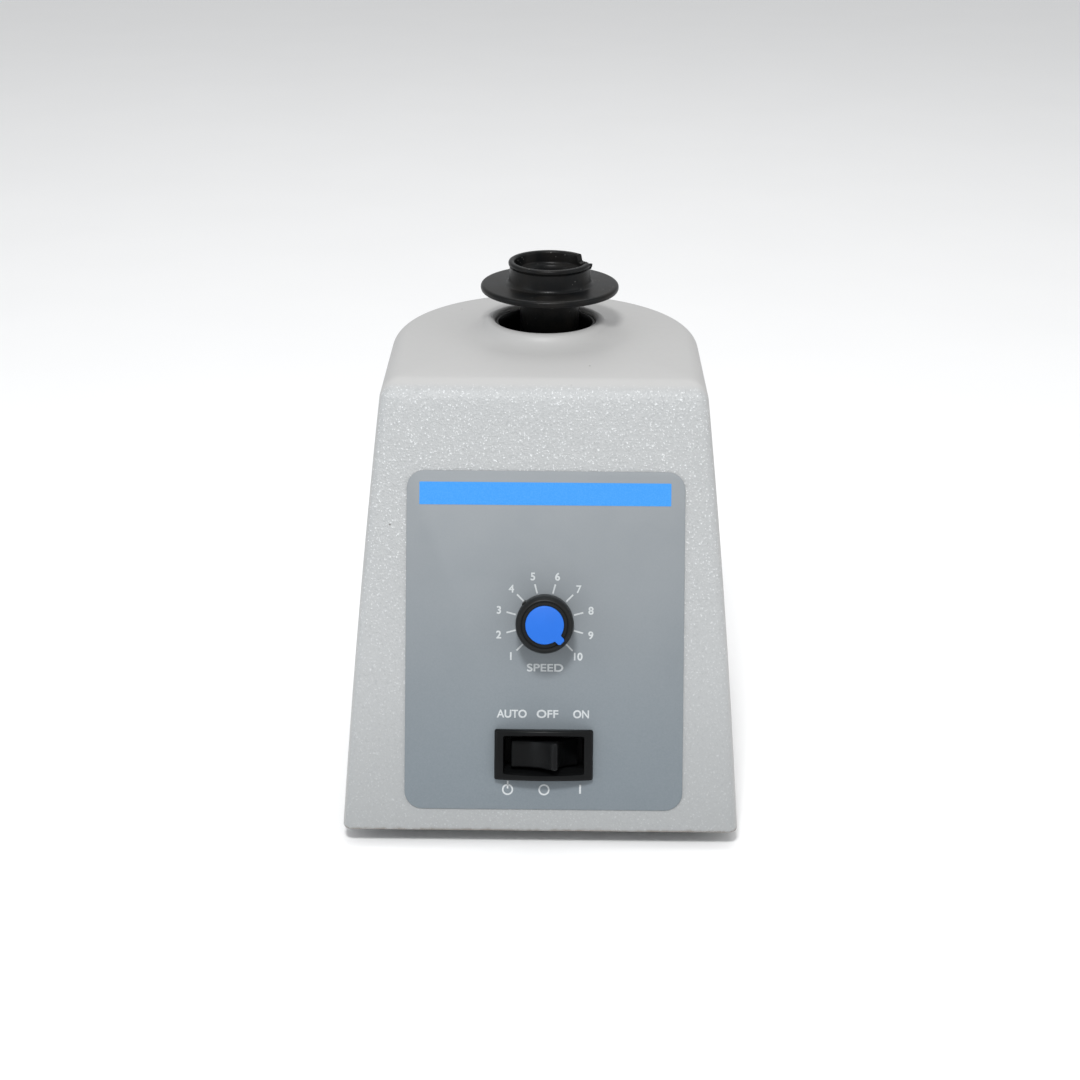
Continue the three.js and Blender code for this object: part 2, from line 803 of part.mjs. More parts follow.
// Outline of the blue cap: a disc with a pointer towards +X.
function capShape(grow) {
  const radius = 5.8 + grow;
  const halfNose = 1.2 + grow;
  const start = Math.asin(halfNose / radius);
  const shape = new THREE.Shape();
  shape.moveTo(7.8 + grow, -halfNose);
  shape.lineTo(7.8 + grow, halfNose);
  shape.absarc(0, 0, radius, start, 2 * Math.PI - start);
  return shape;
}

function knobCap() {
  return raised(capShape(0), 12.4, 14.2, 12).rotateZ(KNOB_POINTS_AT).rotateX(Math.PI / 2);
}

// Rocker switch: an arched bezel in front of the wall, with sloping sides down to the rocker,
// and a case behind the wall with three flat terminals.
const BEZEL_HALF_LENGTH = 15.4;
const BEZEL_HALF_HEIGHT = 7.9;
const WELL_HALF_LENGTH = 12.4;
const WELL_HALF_HEIGHT = 4.7;

function switchBody() {
  const front = -3 * GAP; // the back of the bezel, clear of the label
  const arch = new THREE.Shape();
  arch.moveTo(-BEZEL_HALF_LENGTH, -front);
  arch.lineTo(BEZEL_HALF_LENGTH, -front);
  arch.lineTo(BEZEL_HALF_LENGTH, -front + 1.6);
  arch.quadraticCurveTo(0, -front + 7.4, -BEZEL_HALF_LENGTH, -front + 1.6);
  // Pushed along Z here: the arch's height becomes -Y.
  const bezel = raised(arch, -BEZEL_HALF_HEIGHT, BEZEL_HALF_HEIGHT, 10).rotateX(Math.PI);
  const rest = block(-13.2, 13.2, front - 0.5, WALL + 19, -6.5, 6.5);
  const well = new THREE.Shape();
  well.moveTo(-WELL_HALF_HEIGHT, -WALL);
  well.lineTo(WELL_HALF_HEIGHT, -WALL);
  well.lineTo(WELL_HALF_HEIGHT + 1.8, 6.5);
  well.lineTo(-WELL_HALF_HEIGHT - 1.8, 6.5);
  const slope = raised(well, -WELL_HALF_LENGTH, WELL_HALF_LENGTH);
  slope.rotateY(Math.PI / 2).rotateX(Math.PI);
  const terminals = [-8, 0, 8].map((x) => block(x - 3, x + 3, 20, WALL + 26, -0.4, 0.4));
  return joined(
    cut(
      joined(bezel, rest),
      slope,
      block(-WELL_HALF_LENGTH, WELL_HALF_LENGTH, 0, WALL + 12, -WELL_HALF_HEIGHT, WELL_HALF_HEIGHT),
    ),
    ...terminals,
  );
}

// The rocker has two hollow wings and a ridge between them. It rests with its right end pressed
// in. Nothing on it is farther from the pivot than the well is long.
const ROCKER_TILT = THREE.MathUtils.degToRad(17.4);
const ROCKER_PIVOT = 4; // behind the face

function switchRocker() {
  const ridge = 12.5;
  const side = new THREE.Shape();
  side.moveTo(-9.6, -4.5);
  side.lineTo(9.6, -4.5);
  side.lineTo(11.1, 1.2);
  side.quadraticCurveTo(5.4, 4.4, 0.6, ridge);
  side.lineTo(-0.6, ridge);
  side.quadraticCurveTo(-5.4, 4.4, -11.1, 1.2);
  const body = raised(side, -4.3, 4.3, 8).rotateX(Math.PI);
  return body.rotateZ(ROCKER_TILT).translate(0, ROCKER_PIVOT, 0);
}

// ---------------------------------------------------------------- electrical parts inside

function controlBoard() {
  return block(-40, 40, -44, -18, BOARD_BOTTOM, BOARD_TOP);
}

function heatSink() {
  const base = BOARD_TOP + GAP;
  const fins = [0, 1, 2, 3].map((i) => block(14, 34, -40 + 5 * i, -38.4 + 5 * i, base, 38));
  return joined(block(14, 34, -40, -23.4, base, base + 3), ...fins);
}

function filmCapacitor() {
  return raised(roundedRect(20, 11, 1.2, -26, -31), BOARD_TOP + GAP, 30, 2);
}

function noiseChoke() {
  return new THREE.TorusGeometry(6.2, 2.8, 8, 16).translate(-2, -31, 18.8);
}

const PLUNGER = [BOLT_OFFSET, AXIS_Y - BOLT_OFFSET]; // under a leg of the lower end bell

function microSwitch() {
  const [x, y] = PLUNGER;
  const body = block(x - 10, x + 10, y - 3.2, y + 3.2, 19, 29);
  const tags = [-7, 0, 7].map((dx) => block(x + dx - 1.5, x + dx + 1.5, y - 0.4, y + 0.4, 14, 20));
  return cut(joined(body, ...tags), round(1.7, 25.4, 30, 0, SMALL).translate(x, y, 0));
}

function microSwitchPlunger() {
  const [x, y] = PLUNGER;
  const top = STATOR_BOTTOM - 14 - GAP;
  return turned(
    [
      [0, 27.6],
      [1.4, 27.6],
      [1.4, top - 0.4],
      [1, top],
      [0, top],
    ],
    12,
  ).translate(x, y, 0);
}

// Mains inlet with a drawer for the fuse below the socket. Y is into the mixer from the pad.
const SOCKET_Z = 6; // centre of the socket above the inlet's centre
const DRAWER_Z = -12.5;

// Outline of the plug's space: a rectangle with two corners cut off at 45 degrees.
function socketShape(halfWidth_, halfHeight, chamfer) {
  const shape = new THREE.Shape();
  shape.moveTo(-halfWidth_, -halfHeight);
  shape.lineTo(halfWidth_, -halfHeight);
  shape.lineTo(halfWidth_, halfHeight - chamfer);
  shape.lineTo(halfWidth_ - chamfer, halfHeight);
  shape.lineTo(-halfWidth_ + chamfer, halfHeight);
  shape.lineTo(-halfWidth_, halfHeight - chamfer);
  return shape;
}

function inletBody() {
  const flange = pushedAlongY(roundedRect(32, 39, 2), -2.3, -GAP);
  const body = block(-13.6, 13.6, -1, 16.5, -17.2, 17.2);
  const socket = pushedAlongY(socketShape(12.3, 8.3, 5), -4, 14.6).translate(0, 0, SOCKET_Z);
  const pinHoles = PINS.map(([, x, z]) => block(x - 1.3, x + 1.3, 10, 30, z - 2.3, z + 2.3));
  return cut(
    joined(flange, body),
    socket,
    ...pinHoles,
    block(-12.3, 12.3, -4, 16, DRAWER_Z - 4.3, DRAWER_Z + 4.3),
  );
}

const PINS = [
  ["inlet_pin_live", -7, SOCKET_Z - 2],
  ["inlet_pin_earth", 0, SOCKET_Z + 2.4],
  ["inlet_pin_neutral", 7, SOCKET_Z - 2],
];

function inletPin(x, z) {
  return block(x - 1, x + 1, -0.6, 18.5, z - 2, z + 2);
}

// The drawer pulls straight out of the back. A window in its floor holds the fuse.
function fuseDrawer() {
  const front = block(-12, 12, -3.4, -0.6, DRAWER_Z - 4, DRAWER_Z + 4);
  const tray = block(-12, 12, -1, 15.6, DRAWER_Z - 4, DRAWER_Z + 4);
  const grip = block(-6, 6, -4.6, -3, DRAWER_Z + 1.4, DRAWER_Z + 2.8);
  const bed = block(-10.6, 10.6, 2, 9.6, DRAWER_Z - 3.1, DRAWER_Z + 5);
  return cut(joined(front, tray, grip), bed);
}

function mainsFuse() {
  const fuse = turned(
    [
      [0, -10],
      [2.6, -10],
      [2.6, -5],
      [2.3, -5],
      [2.3, 5],
      [2.6, 5],
      [2.6, 10],
      [0, 10],
    ],
    SMALL,
  );
  return fuse.rotateY(Math.PI / 2).translate(0, 5.8, DRAWER_Z);
}

function wire(points) {
  const curve = new THREE.CatmullRomCurve3(points.map((p) => new THREE.Vector3(...p)));
  return swept(curve, 1.1, 24, 6);
}

// From the live pin of the inlet, low along the right wall, to the switch.
function supplyWire() {
  return wire([
    [7, 57, 38],
    [12, 56, 34],
    [18, 53, 28],
    [32, 42, 23],
    [45, 20, 18],
    [47, -12, 16],
    [46, -36, 17],
    [28, -49, 20],
    [10, -47.5, 21],
  ]);
}

// From the earth pin down to the base plate.
function earthWire() {
  return wire([
    [0, 57, 41.6],
    [-8, 56, 41],
    [-18, 54, 34],
    [-24, 47, 22],
    [-28, 40, 13],
    [-29, 33, 10.6],
  ]);
}

// ---------------------------------------------------------------- the assembly

function frameParts() {
  const g = new THREE.Group();
  g.add(mesh("housing", housing(), PAINT));
  g.add(mesh("collar_liner", collarLiner(), RUBBER));
  g.add(mesh("base_plate", basePlate(), STEEL));
  FEET.forEach(([x, y], i) => {
    const rubberFoot = mesh(`foot_${i + 1}`, foot(), RUBBER);
    const screw = mesh(`foot_screw_${i + 1}`, footScrew(), STEEL);
    rubberFoot.position.set(x, y, 0);
    screw.position.set(x, y, 0);
    g.add(rubberFoot, screw);
  });
  guides.forEach(([x, y], i) => {
    const screw = mesh(`guide_screw_${i + 1}`, guideScrew(), STEEL);
    const spring = mesh(`press_spring_${i + 1}`, pressSpring(), STEEL);
    screw.position.set(x, y, 0);
    spring.position.set(x, y, 0);
    g.add(screw, spring);
  });
  return g;
}

function electrics() {
  const g = new THREE.Group();
  g.add(mesh("control_board", controlBoard(), BOARD));
  g.add(mesh("triac_heat_sink", heatSink(), ALUMINIUM));
  g.add(mesh("film_capacitor", filmCapacitor(), AMBER));
  g.add(mesh("noise_choke", noiseChoke(), COPPER));
  g.add(mesh("micro_switch", microSwitch(), BLACK_PLASTIC));
  g.add(mesh("micro_switch_plunger", microSwitchPlunger(), AMBER));
  g.add(mesh("supply_wire", supplyWire(), WIRE_BROWN));
  g.add(mesh("earth_wire", earthWire(), WIRE_GREEN));
  return g;
}

// The inlet's own frame has Y into the mixer, so it is turned half round at the back.
function powerInlet() {
  const g = new THREE.Group();
  g.position.set(0, PAD_Y, INLET_Z);
  g.rotation.z = Math.PI;
  g.add(mesh("inlet_body", inletBody(), BLACK_PLASTIC));
  for (const [name, x, z] of PINS) g.add(mesh(name, inletPin(x, z), BRASS));
  g.add(mesh("fuse_drawer", fuseDrawer(), BLACK_PLASTIC));
  g.add(mesh("mains_fuse", mainsFuse(), GLASS));
  return g;
}

// Everything on the sloping face is drawn upright, with Y into the mixer, and turned here.
function faceParts() {
  const g = new THREE.Group();
  g.position.set(FACE_X, FRONT_Y, HOUSING_BOTTOM);
  g.rotation.x = -FACE_LEAN;
  g.add(mesh("control_label", controlLabel(), LABEL));

  const speed = new THREE.Group();
  speed.position.z = KNOB_CENTRE;
  speed.add(mesh("pot_body", potBody(), ALUMINIUM));
  speed.add(mesh("pot_nut", potNut(), STEEL));
  speed.add(mesh("pot_shaft", potShaft(), BRASS));
  speed.add(mesh("knob_body", knobBody(), BLACK_PLASTIC));
  speed.add(mesh("knob_cap", knobCap(), BLUE_PLASTIC));
  g.add(speed);

  const power = new THREE.Group();
  power.position.z = SWITCH_CENTRE;
  power.add(mesh("switch_body", switchBody(), BLACK_PLASTIC));
  power.add(mesh("switch_rocker", switchRocker(), BLACK_PLASTIC));
  g.add(power);
  return g;
}

function motor() {
  const g = new THREE.Group();
  g.position.y = AXIS_Y;
  g.add(mesh("motor_plate", motorPlate(), STEEL));
  const upperLegs = MOTOR_PLATE_BOTTOM - STATOR_TOP - 2 * GAP;
  const upper = mesh("upper_end_bell", endBell(upperLegs, 8.4), ALUMINIUM);
  upper.position.z = STATOR_TOP + GAP;
  const lower = mesh("lower_end_bell", endBell(14 - GAP, 8.4), ALUMINIUM);
  lower.position.z = STATOR_BOTTOM - GAP;
  lower.rotation.set(Math.PI, 0, Math.PI / 2);
  g.add(upper, lower);
  g.add(mesh("stator_stack", statorStack(), LAMINATION));
  for (const [name, y] of [["field_coil_front", -25], ["field_coil_back", 25]]) {
    const coil = mesh(name, fieldCoil(), COPPER);
    coil.position.y = y;
    g.add(coil);
  }
  for (const [name, sign] of [["through_bolt_1", -1], ["through_bolt_2", 1]]) {
    const bolt = mesh(name, throughBolt(), STEEL);
    bolt.position.set(sign * BOLT_OFFSET, sign * BOLT_OFFSET, 0);
    g.add(bolt);
  }
  const upperSeat = MOTOR_PLATE_BOTTOM - GAP - BEARING_WIDTH;
  g.add(mesh("motor_bearing_upper", ballBearing(upperSeat), STEEL));
  g.add(mesh("motor_bearing_lower", ballBearing(STATOR_BOTTOM - 14), STEEL));
  g.add(mesh("dust_gaiter", dustGaiter(), RUBBER));
  return g;
}

// The pin is drawn towards +X, and the whole rotor is turned to where the cup rests.
function rotor() {
  const g = new THREE.Group();
  g.position.y = AXIS_Y;
  g.rotation.z = ORBIT_ANGLE;
  g.add(mesh("motor_shaft", motorShaft(), STEEL));
  g.add(mesh("rotor_core", rotorCore(), LAMINATION));
  g.add(mesh("cooling_fan", coolingFan(), BLACK_PLASTIC));
  g.add(mesh("eccentric_hub", eccentricHub(), ALUMINIUM));
  g.add(mesh("counterweight", counterweight(), BRASS));
  g.add(mesh("hub_set_screw", hubSetScrew(), STEEL));
  return g;
}

function head() {
  const g = new THREE.Group();
  const x = ORBIT_RADIUS * Math.cos(ORBIT_ANGLE);
  const y = AXIS_Y + ORBIT_RADIUS * Math.sin(ORBIT_ANGLE);
  g.position.set(x, y, 0);
  g.add(mesh("drive_bearing", ballBearing(113), STEEL));
  g.add(mesh("head_hub", headHub(), BLACK_PLASTIC));
  g.add(mesh("mixing_cup", mixingCup(), RUBBER));
  return g;
}

const mixer = new THREE.Group();
mixer.add(frameParts(), electrics(), powerInlet(), faceParts(), motor(), rotor(), head());

export default mixer;
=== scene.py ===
# %% [markdown]
# # A vortex mixer for test tubes
#
# A vortex mixer is a heavy little box with a rubber cup on top. The cup runs in a small circle,
# and a test tube pressed into it swirls. This lesson gives the mixer its finished look. The
# mechanical model is loaded first, and it fixes every size and place. Each piece that shows is
# then made again with its real radii, and each finish is mixed from procedural nodes.

# %% Load the mechanical model
import json
import math

import bmesh
import bpy
from mathutils import Matrix, Vector


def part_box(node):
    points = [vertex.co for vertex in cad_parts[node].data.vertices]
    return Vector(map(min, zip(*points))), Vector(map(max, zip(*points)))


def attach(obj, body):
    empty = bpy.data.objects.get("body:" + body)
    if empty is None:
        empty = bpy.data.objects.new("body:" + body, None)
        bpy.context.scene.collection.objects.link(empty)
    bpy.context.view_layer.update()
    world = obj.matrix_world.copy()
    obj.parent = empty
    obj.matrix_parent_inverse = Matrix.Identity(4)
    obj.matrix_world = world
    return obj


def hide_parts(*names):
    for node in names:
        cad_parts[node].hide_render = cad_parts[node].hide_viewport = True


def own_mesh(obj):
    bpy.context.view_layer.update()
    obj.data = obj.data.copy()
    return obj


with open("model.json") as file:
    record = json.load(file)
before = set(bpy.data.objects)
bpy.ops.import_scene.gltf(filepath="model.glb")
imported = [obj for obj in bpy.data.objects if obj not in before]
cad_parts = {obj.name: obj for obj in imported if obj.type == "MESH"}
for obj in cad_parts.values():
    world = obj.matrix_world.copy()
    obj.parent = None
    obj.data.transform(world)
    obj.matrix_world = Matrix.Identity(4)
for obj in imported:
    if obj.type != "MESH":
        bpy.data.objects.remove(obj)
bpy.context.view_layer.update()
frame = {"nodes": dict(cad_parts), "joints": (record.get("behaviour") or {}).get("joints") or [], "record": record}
joints = {joint["name"]: joint for joint in frame["joints"]}

# %% [markdown]
# ## Where things are
#
# Everything is drawn in millimetres and made metres at the end, because a bevel of 0.4 is easier
# to judge than one of 0.0004. The places come from the model's own boxes and joints. The sloping
# front has a frame of its own: x goes to the right, y up the slope and z straight out of it, so
# the label, the knob and the switch are drawn as if they lay flat on a table.

# %% Places and the frame of the sloping front
TO_METRES = 0.001


def box_mm(node):
    low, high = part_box(node)
    return low * 1000, high * 1000


def at(x, y, z=0.0):
    return Matrix.Translation((x, y, z))


def turn(degrees, axis):
    return Matrix.Rotation(math.radians(degrees), 4, axis)


def centre_mm(node):
    low, high = box_mm(node)
    return (low + high) / 2


def in_scene(thing):
    bpy.context.scene.collection.objects.link(thing)
    return thing


def joint_mm(name):
    return Vector(joints[name]["pos_m"]) * 1000


housing_low, housing_high = box_mm("housing")
AXIS_Y = joint_mm("rotor_spin").y
outward = Vector(joints["speed_knob"]["axis"])
LEAN = math.atan2(outward.z, -outward.y)

FACE_X = joint_mm("speed_knob").x  # the controls sit a little right of the middle
FACE = (
    at(FACE_X, housing_low.y, housing_low.z)
    @ Matrix.Rotation(-LEAN, 4, "X")
    @ turn(90, "X")
)
KNOB_UP = (FACE.inverted() @ joint_mm("speed_knob")).y
SWITCH_UP = (FACE.inverted() @ joint_mm("rocker_tilt")).y


def on_face(up, out=0.0):
    """The matrix that puts a drawing on the sloping front, so far up it and out of it."""
    return FACE @ at(0, up, out)


print(f"front leans {math.degrees(LEAN):.1f} degrees, knob {KNOB_UP:.1f} mm up it")

# %% [markdown]
# ## A small kit for finishes
#
# A procedural finish is arithmetic on patterns. The Field class wraps a node's output, so that
# noise * 0.5 + 0.2 adds the two Math nodes by itself. Every other node comes from Finish.node,
# which sets the node's options first and then its sockets. A number that is the same all over a
# surface goes straight on to the shader.

# %% Fields and finishes


class Field:
    """A value that changes over a surface."""

    def __init__(self, finish, socket):
        self.finish = finish
        self.socket = socket

    def math(self, operation, *others):
        return self.finish.node(
            "ShaderNodeMath", {"operation": operation}, dict(enumerate(others))
        )

    def __add__(self, other):
        return self.math("ADD", self, other)

    def __sub__(self, other):
        return self.math("SUBTRACT", self, other)

    def __rsub__(self, other):
        return self.math("SUBTRACT", other, self)

    def __mul__(self, other):
        return self.math("MULTIPLY", self, other)

    __radd__ = __add__
    __rmul__ = __mul__

    def maximum(self, other):
        return self.math("MAXIMUM", self, other)

    def step(self, low, high):
        """0 below low, 1 above high and a soft ramp between."""
        return self.finish.node(
            "ShaderNodeMapRange",
            {"interpolation_type": "SMOOTHSTEP"},
            {"Value": self, "From Min": low, "From Max": high},
        )


class Finish:
    """A material in the making. Shader numbers that don't change are given at the start."""

    def __init__(self, name, **numbers):
        self.material = bpy.data.materials.new(name)
        self.material.use_nodes = True
        self.tree = self.material.node_tree
        self.shader = self.tree.nodes["Principled BSDF"]
        for socket, value in numbers.items():
            self.shader.inputs[socket.replace("_", " ")].default_value = value
        self.place = self.node("ShaderNodeTexCoord", output="Object")

    def node(self, kind, settings=None, inputs=None, output=0):
        made = self.tree.nodes.new(kind)
        for key, value in (settings or {}).items():
            if key == "stops":
                self.set_stops(made.color_ramp, value)
            else:
                setattr(made, key, value)
        for key, value in (inputs or {}).items():
            if isinstance(value, Field):
                self.tree.links.new(value.socket, made.inputs[key])
            else:
                made.inputs[key].default_value = value
        return Field(self, made.outputs[output])

    def set_stops(self, ramp, stops):
        while len(ramp.elements) < len(stops):
            ramp.elements.new(0.5)
        for element, (position, colour) in zip(ramp.elements, stops):
            element.position = position
            element.color = (*colour, 1)

    def stretched(self, x, y, z):
        """Object coordinates, scaled along each axis, for brushed and layered patterns."""
        return self.node("ShaderNodeMapping", None, {"Vector": self.place, "Scale": (x, y, z)})

    def noise(self, size, detail=3.0, roughness=0.5, where=None):
        """Soft noise from 0 to 1. Its patches are about size millimetres across."""
        numbers = {
            "Vector": where or self.place,
            "Scale": 1000 / size,
            "Detail": detail,
            "Roughness": roughness,
        }
        return self.node("ShaderNodeTexNoise", None, numbers)

    def cells(self, size, feature="F1"):
        """Distance to the nearest of many scattered points, about size millimetres apart."""
        numbers = {"Vector": self.place, "Scale": 1000 / size}
        return self.node("ShaderNodeTexVoronoi", {"feature": feature}, numbers)

    def along(self, axis):
        """The object coordinate along one axis, in millimetres."""
        split = self.node("ShaderNodeSeparateXYZ", None, {"Vector": self.place}, axis)
        return split * 1000

    def blend(self, amount, first, second):
        """Two colours mixed by a field. A colour is (red, green, blue) or a field."""
        wide = [(*c, 1) if isinstance(c, tuple) else c for c in (first, second)]
        options = {"data_type": "RGBA"}
        return self.node("ShaderNodeMix", options, {0: amount, 6: wide[0], 7: wide[1]}, 2)

    def bump(self, height, depth):
        """Relief of about depth millimetres for a height field from 0 to 1."""
        numbers = {"Height": height, "Distance": depth * TO_METRES, "Strength": 1.0}
        return self.node("ShaderNodeBump", None, numbers)

    def feed(self, **fields):
        """Links fields to the shader's sockets, and gives the finished material."""
        for socket, field in fields.items():
            self.tree.links.new(field.socket, self.shader.inputs[socket.replace("_", " ")])
        return self.material


print("kit ready")

# %% [markdown]
# ## The powder coat
#
# The housing is a metal casting with a light grey powder coat. Such a coat isn't smooth: it
# pulls together into pebbles a little under a millimetre across, like orange peel, and each
# pebble catches the lamp; the front also has pale glints painted on its pebble tops and
# painted shade in the hollows between them. On this mixer the peel is strong on the sloping
# front, weaker on the sides and nearly gone on the top, where the mould was polished. Distance
# behind the front plane tells the shader which is which. Painted shade makes the front a darker,
# cooler grey than the top, and darker again towards the bottom. Dirt gathers in specks, and a
# ragged dark band runs along the bottom edge.

# %% Powder coat finish


def powder_coat():
    coat = Finish("powder_coat", IOR=1.5)
    y = coat.along("Y")
    z = coat.along("Z")
    behind = (y - housing_low.y) * math.cos(LEAN) - (z - housing_low.z) * math.sin(LEAN)
    front = 1 - behind.step(0.4, 2.4)
    upper = z.step(housing_low.z + 20, housing_high.z - 24) * 0.75 + 0.25
    sides = 1 - z.step(housing_high.z - 14, housing_high.z - 8)
    strength = front * upper * 0.9 + sides * 0.30 + 0.02
    pebbles = (1 - coat.cells(0.78, "SMOOTH_F1")) * 0.6 + coat.noise(0.5, 2, 0.6)
    height = pebbles * strength + coat.noise(9, 2) * 0.2
    tone = coat.noise(38, 3)
    # Painted shade: the top gets a lighter, warmer grey and the front a darker, cooler copy of it.
    warm = coat.blend(tone, (0.408, 0.405, 0.400), (0.432, 0.430, 0.425))
    shaded_front_tone = coat.blend(tone, (0.385, 0.396, 0.400), (0.408, 0.417, 0.421))
    # Painted shade: the front grows darker towards the bottom.
    low = 1 - z.step(housing_low.z, housing_low.z + 60)
    shaded = coat.blend(low * 0.5, shaded_front_tone, (0.27, 0.28, 0.283))
    base = coat.blend(front, warm, shaded)
    # Painted highlight: pale glints on the tops of the pebbles on the upper front.
    painted_glint = coat.blend(front * upper * pebbles.step(0.95, 1.15) * 0.7, base, (0.80, 0.82, 0.83))
    # Painted shade in the hollows between the pebbles of the front.
    hollow_shade = coat.blend(front * (1 - pebbles.step(0.5, 0.8)) * 0.35, painted_glint, (0.28, 0.29, 0.295))
    specks = (1 - coat.cells(9).step(0.025, 0.045)) * coat.noise(25, 2).step(0.48, 0.6)
    specked = coat.blend(specks * 0.8, hollow_shade, (0.11, 0.10, 0.09))
    # A ragged band along the bottom edge, darker, browner and rougher than the rest.
    ragged = z + coat.noise(3, 4, 0.65) * 2.0
    dark_bottom_band = (1 - ragged.step(housing_low.z + 1.0, housing_low.z + 2.2)) * 0.8
    colour = coat.blend(dark_bottom_band, specked, (0.14, 0.115, 0.09))
    roughness = coat.noise(2.2, 3) * 0.12 + dark_bottom_band * 0.2 + 0.42 - front * upper * 0.16
    return coat.feed(
        Base_Color=colour, Roughness=roughness, Normal=coat.bump(height, 0.22)
    )


POWDER_COAT = powder_coat()
print("made", POWDER_COAT.name)

# %% [markdown]
# ## Rubber, plastic and print
#
# Black is the hardest colour to keep alive. Real black rubber is near black with a warm bloom
# where fingers rub it, and dust settles in it as pale specks. Moulded plastic has a fine spark
# texture. Both reflect little, and get patches in colour and roughness and a fine relief.

# %% Rubber and plastic finishes


def rubber(name, dark, bloom, gloss):
    finish = Finish(name, IOR=1.52, Specular_IOR_Level=0.15)
    patches = finish.noise(9, 4, 0.6)
    fine = finish.noise(0.5, 3)
    worn = finish.blend(patches.step(0.35, 0.75), dark, bloom)
    specks = 1 - finish.cells(1.9).step(0.05, 0.09)
    dusty = finish.blend(
        specks * finish.noise(6, 2).step(0.42, 0.62) * 0.6, worn, (0.35, 0.34, 0.32)
    )
    roughness = patches * 0.16 + fine * 0.08 + (0.42 - gloss)
    return finish.feed(
        Base_Color=dusty,
        Roughness=roughness,
        Normal=finish.bump(fine * 0.5 + patches * 0.8, 0.05),
    )


def moulded(name, colour, sheen, gloss, grain=0.5):
    finish = Finish(name, IOR=1.5, Specular_IOR_Level=sheen)
    spark = finish.noise(grain, 2)
    cloud = finish.noise(14, 3)
    lighter = tuple(min(c * 1.35 + 0.004, 1) for c in colour)
    tinted = finish.blend(cloud, colour, lighter)
    scuffs = finish.noise(1.6, 5, 0.7, finish.stretched(1, 0.25, 1)).step(0.66, 0.78)
    scuffed = finish.blend(scuffs * 0.05, tinted, (0.4, 0.4, 0.4))
    roughness = spark * 0.16 + cloud * 0.08 + (0.38 - gloss)
    return finish.feed(
        Base_Color=scuffed, Roughness=roughness, Normal=finish.bump(spark, 0.02)
    )


CUP_RUBBER = rubber("cup_rubber", (0.003, 0.0035, 0.004), (0.009, 0.0078, 0.0066), 0.20)
FOOT_RUBBER = rubber("foot_rubber", (0.010, 0.010, 0.010), (0.022, 0.021, 0.020), 0.0)
BLACK_PLASTIC = moulded("black_plastic", (0.003, 0.0033, 0.0036), 0.13, 0.14)
KNOB_PLASTIC = moulded("knob_plastic", (0.005, 0.0055, 0.0055), 0.18, 0.08)
BLUE_PLASTIC = moulded("blue_plastic", (0.006, 0.110, 0.50), 0.35, 0.02, 0.8)
AMBER_PLASTIC = moulded("amber_plastic", (0.50, 0.22, 0.03), 0.5, 0.15)
BROWN_INSULATION = moulded("brown_insulation", (0.10, 0.04, 0.018), 0.5, 0.05)
GREEN_INSULATION = moulded("green_insulation", (0.06, 0.28, 0.05), 0.5, 0.05)
print("made 8 rubbers and plastics")

# %% Label film and its inks


def label_film():
    film = Finish("label_film", IOR=1.5, Specular_IOR_Level=0.35)
    up = film.along("Z").step(housing_low.z + 5, housing_high.z - 35)
    grain = film.noise(0.55, 2)
    cloud = film.noise(22, 3)
    base = film.blend(up, (0.150, 0.181, 0.204), (0.235, 0.253, 0.267))
    inked = film.blend(grain * 0.4, base, (0.27, 0.29, 0.305))
    colour = film.blend(cloud.step(0.4, 0.8) * 0.15, inked, (0.135, 0.16, 0.18))
    roughness = grain * 0.14 + 0.5
    return film.feed(Base_Color=colour, Roughness=roughness, Normal=film.bump(grain, 0.012))


def ink(name, colour, faded):
    finish = Finish(name, IOR=1.48)
    grain = finish.noise(0.45, 3)
    tone = finish.blend(grain.step(0.35, 0.75), colour, faded)
    roughness = grain * 0.2 + 0.4
    return finish.feed(Base_Color=tone, Roughness=roughness, Normal=finish.bump(grain, 0.008))


LABEL_FILM = label_film()
WHITE_INK = ink("white_ink", (0.56, 0.585, 0.595), (0.47, 0.50, 0.515))
BLUE_INK = ink("blue_ink", (0.022, 0.245, 0.68), (0.04, 0.275, 0.70))
print("made the label's film and inks")

# %% [markdown]
# ## Metals
#
# Most metal here is inside, but it still gets an honest finish: a grain along the way it was
# worked, a shift of tone over the surface and a roughness that varies with both. Turned and
# drawn parts have their grain across Z, sheet and cast parts have none.

# %% Metal finishes


def metal(name, colour, dull, roughness, grain=(1, 1, 1), size=0.6, relief=0.02):
    finish = Finish(name, Metallic=1.0)
    streaks = finish.noise(size, 4, 0.6, finish.stretched(*grain))
    cloud = finish.noise(11, 4)
    tone = finish.blend(cloud.step(0.3, 0.8), colour, dull)
    shade = streaks * 0.2 + cloud * 0.12 + (roughness - 0.12)
    return finish.feed(Base_Color=tone, Roughness=shade, Normal=finish.bump(streaks, relief))


def laminations():
    """Thin steel sheets stacked in Z, with a dull varnish over their edges."""
    finish = Finish("laminations", Metallic=0.85)
    edge = finish.node(
        "ShaderNodeTexWave",
        {"bands_direction": "Z"},
        {"Vector": finish.place, "Scale": 320, "Distortion": 0.4, "Detail Scale": 900},
        "Fac",
    )
    varnish = finish.noise(7, 4)
    tone = finish.blend(varnish, (0.16, 0.165, 0.175), (0.26, 0.25, 0.24))
    lined = finish.blend(edge * 0.5, tone, (0.07, 0.07, 0.075))
    return finish.feed(
        Base_Color=lined, Roughness=varnish * 0.2 + 0.38, Normal=finish.bump(edge, 0.04)
    )


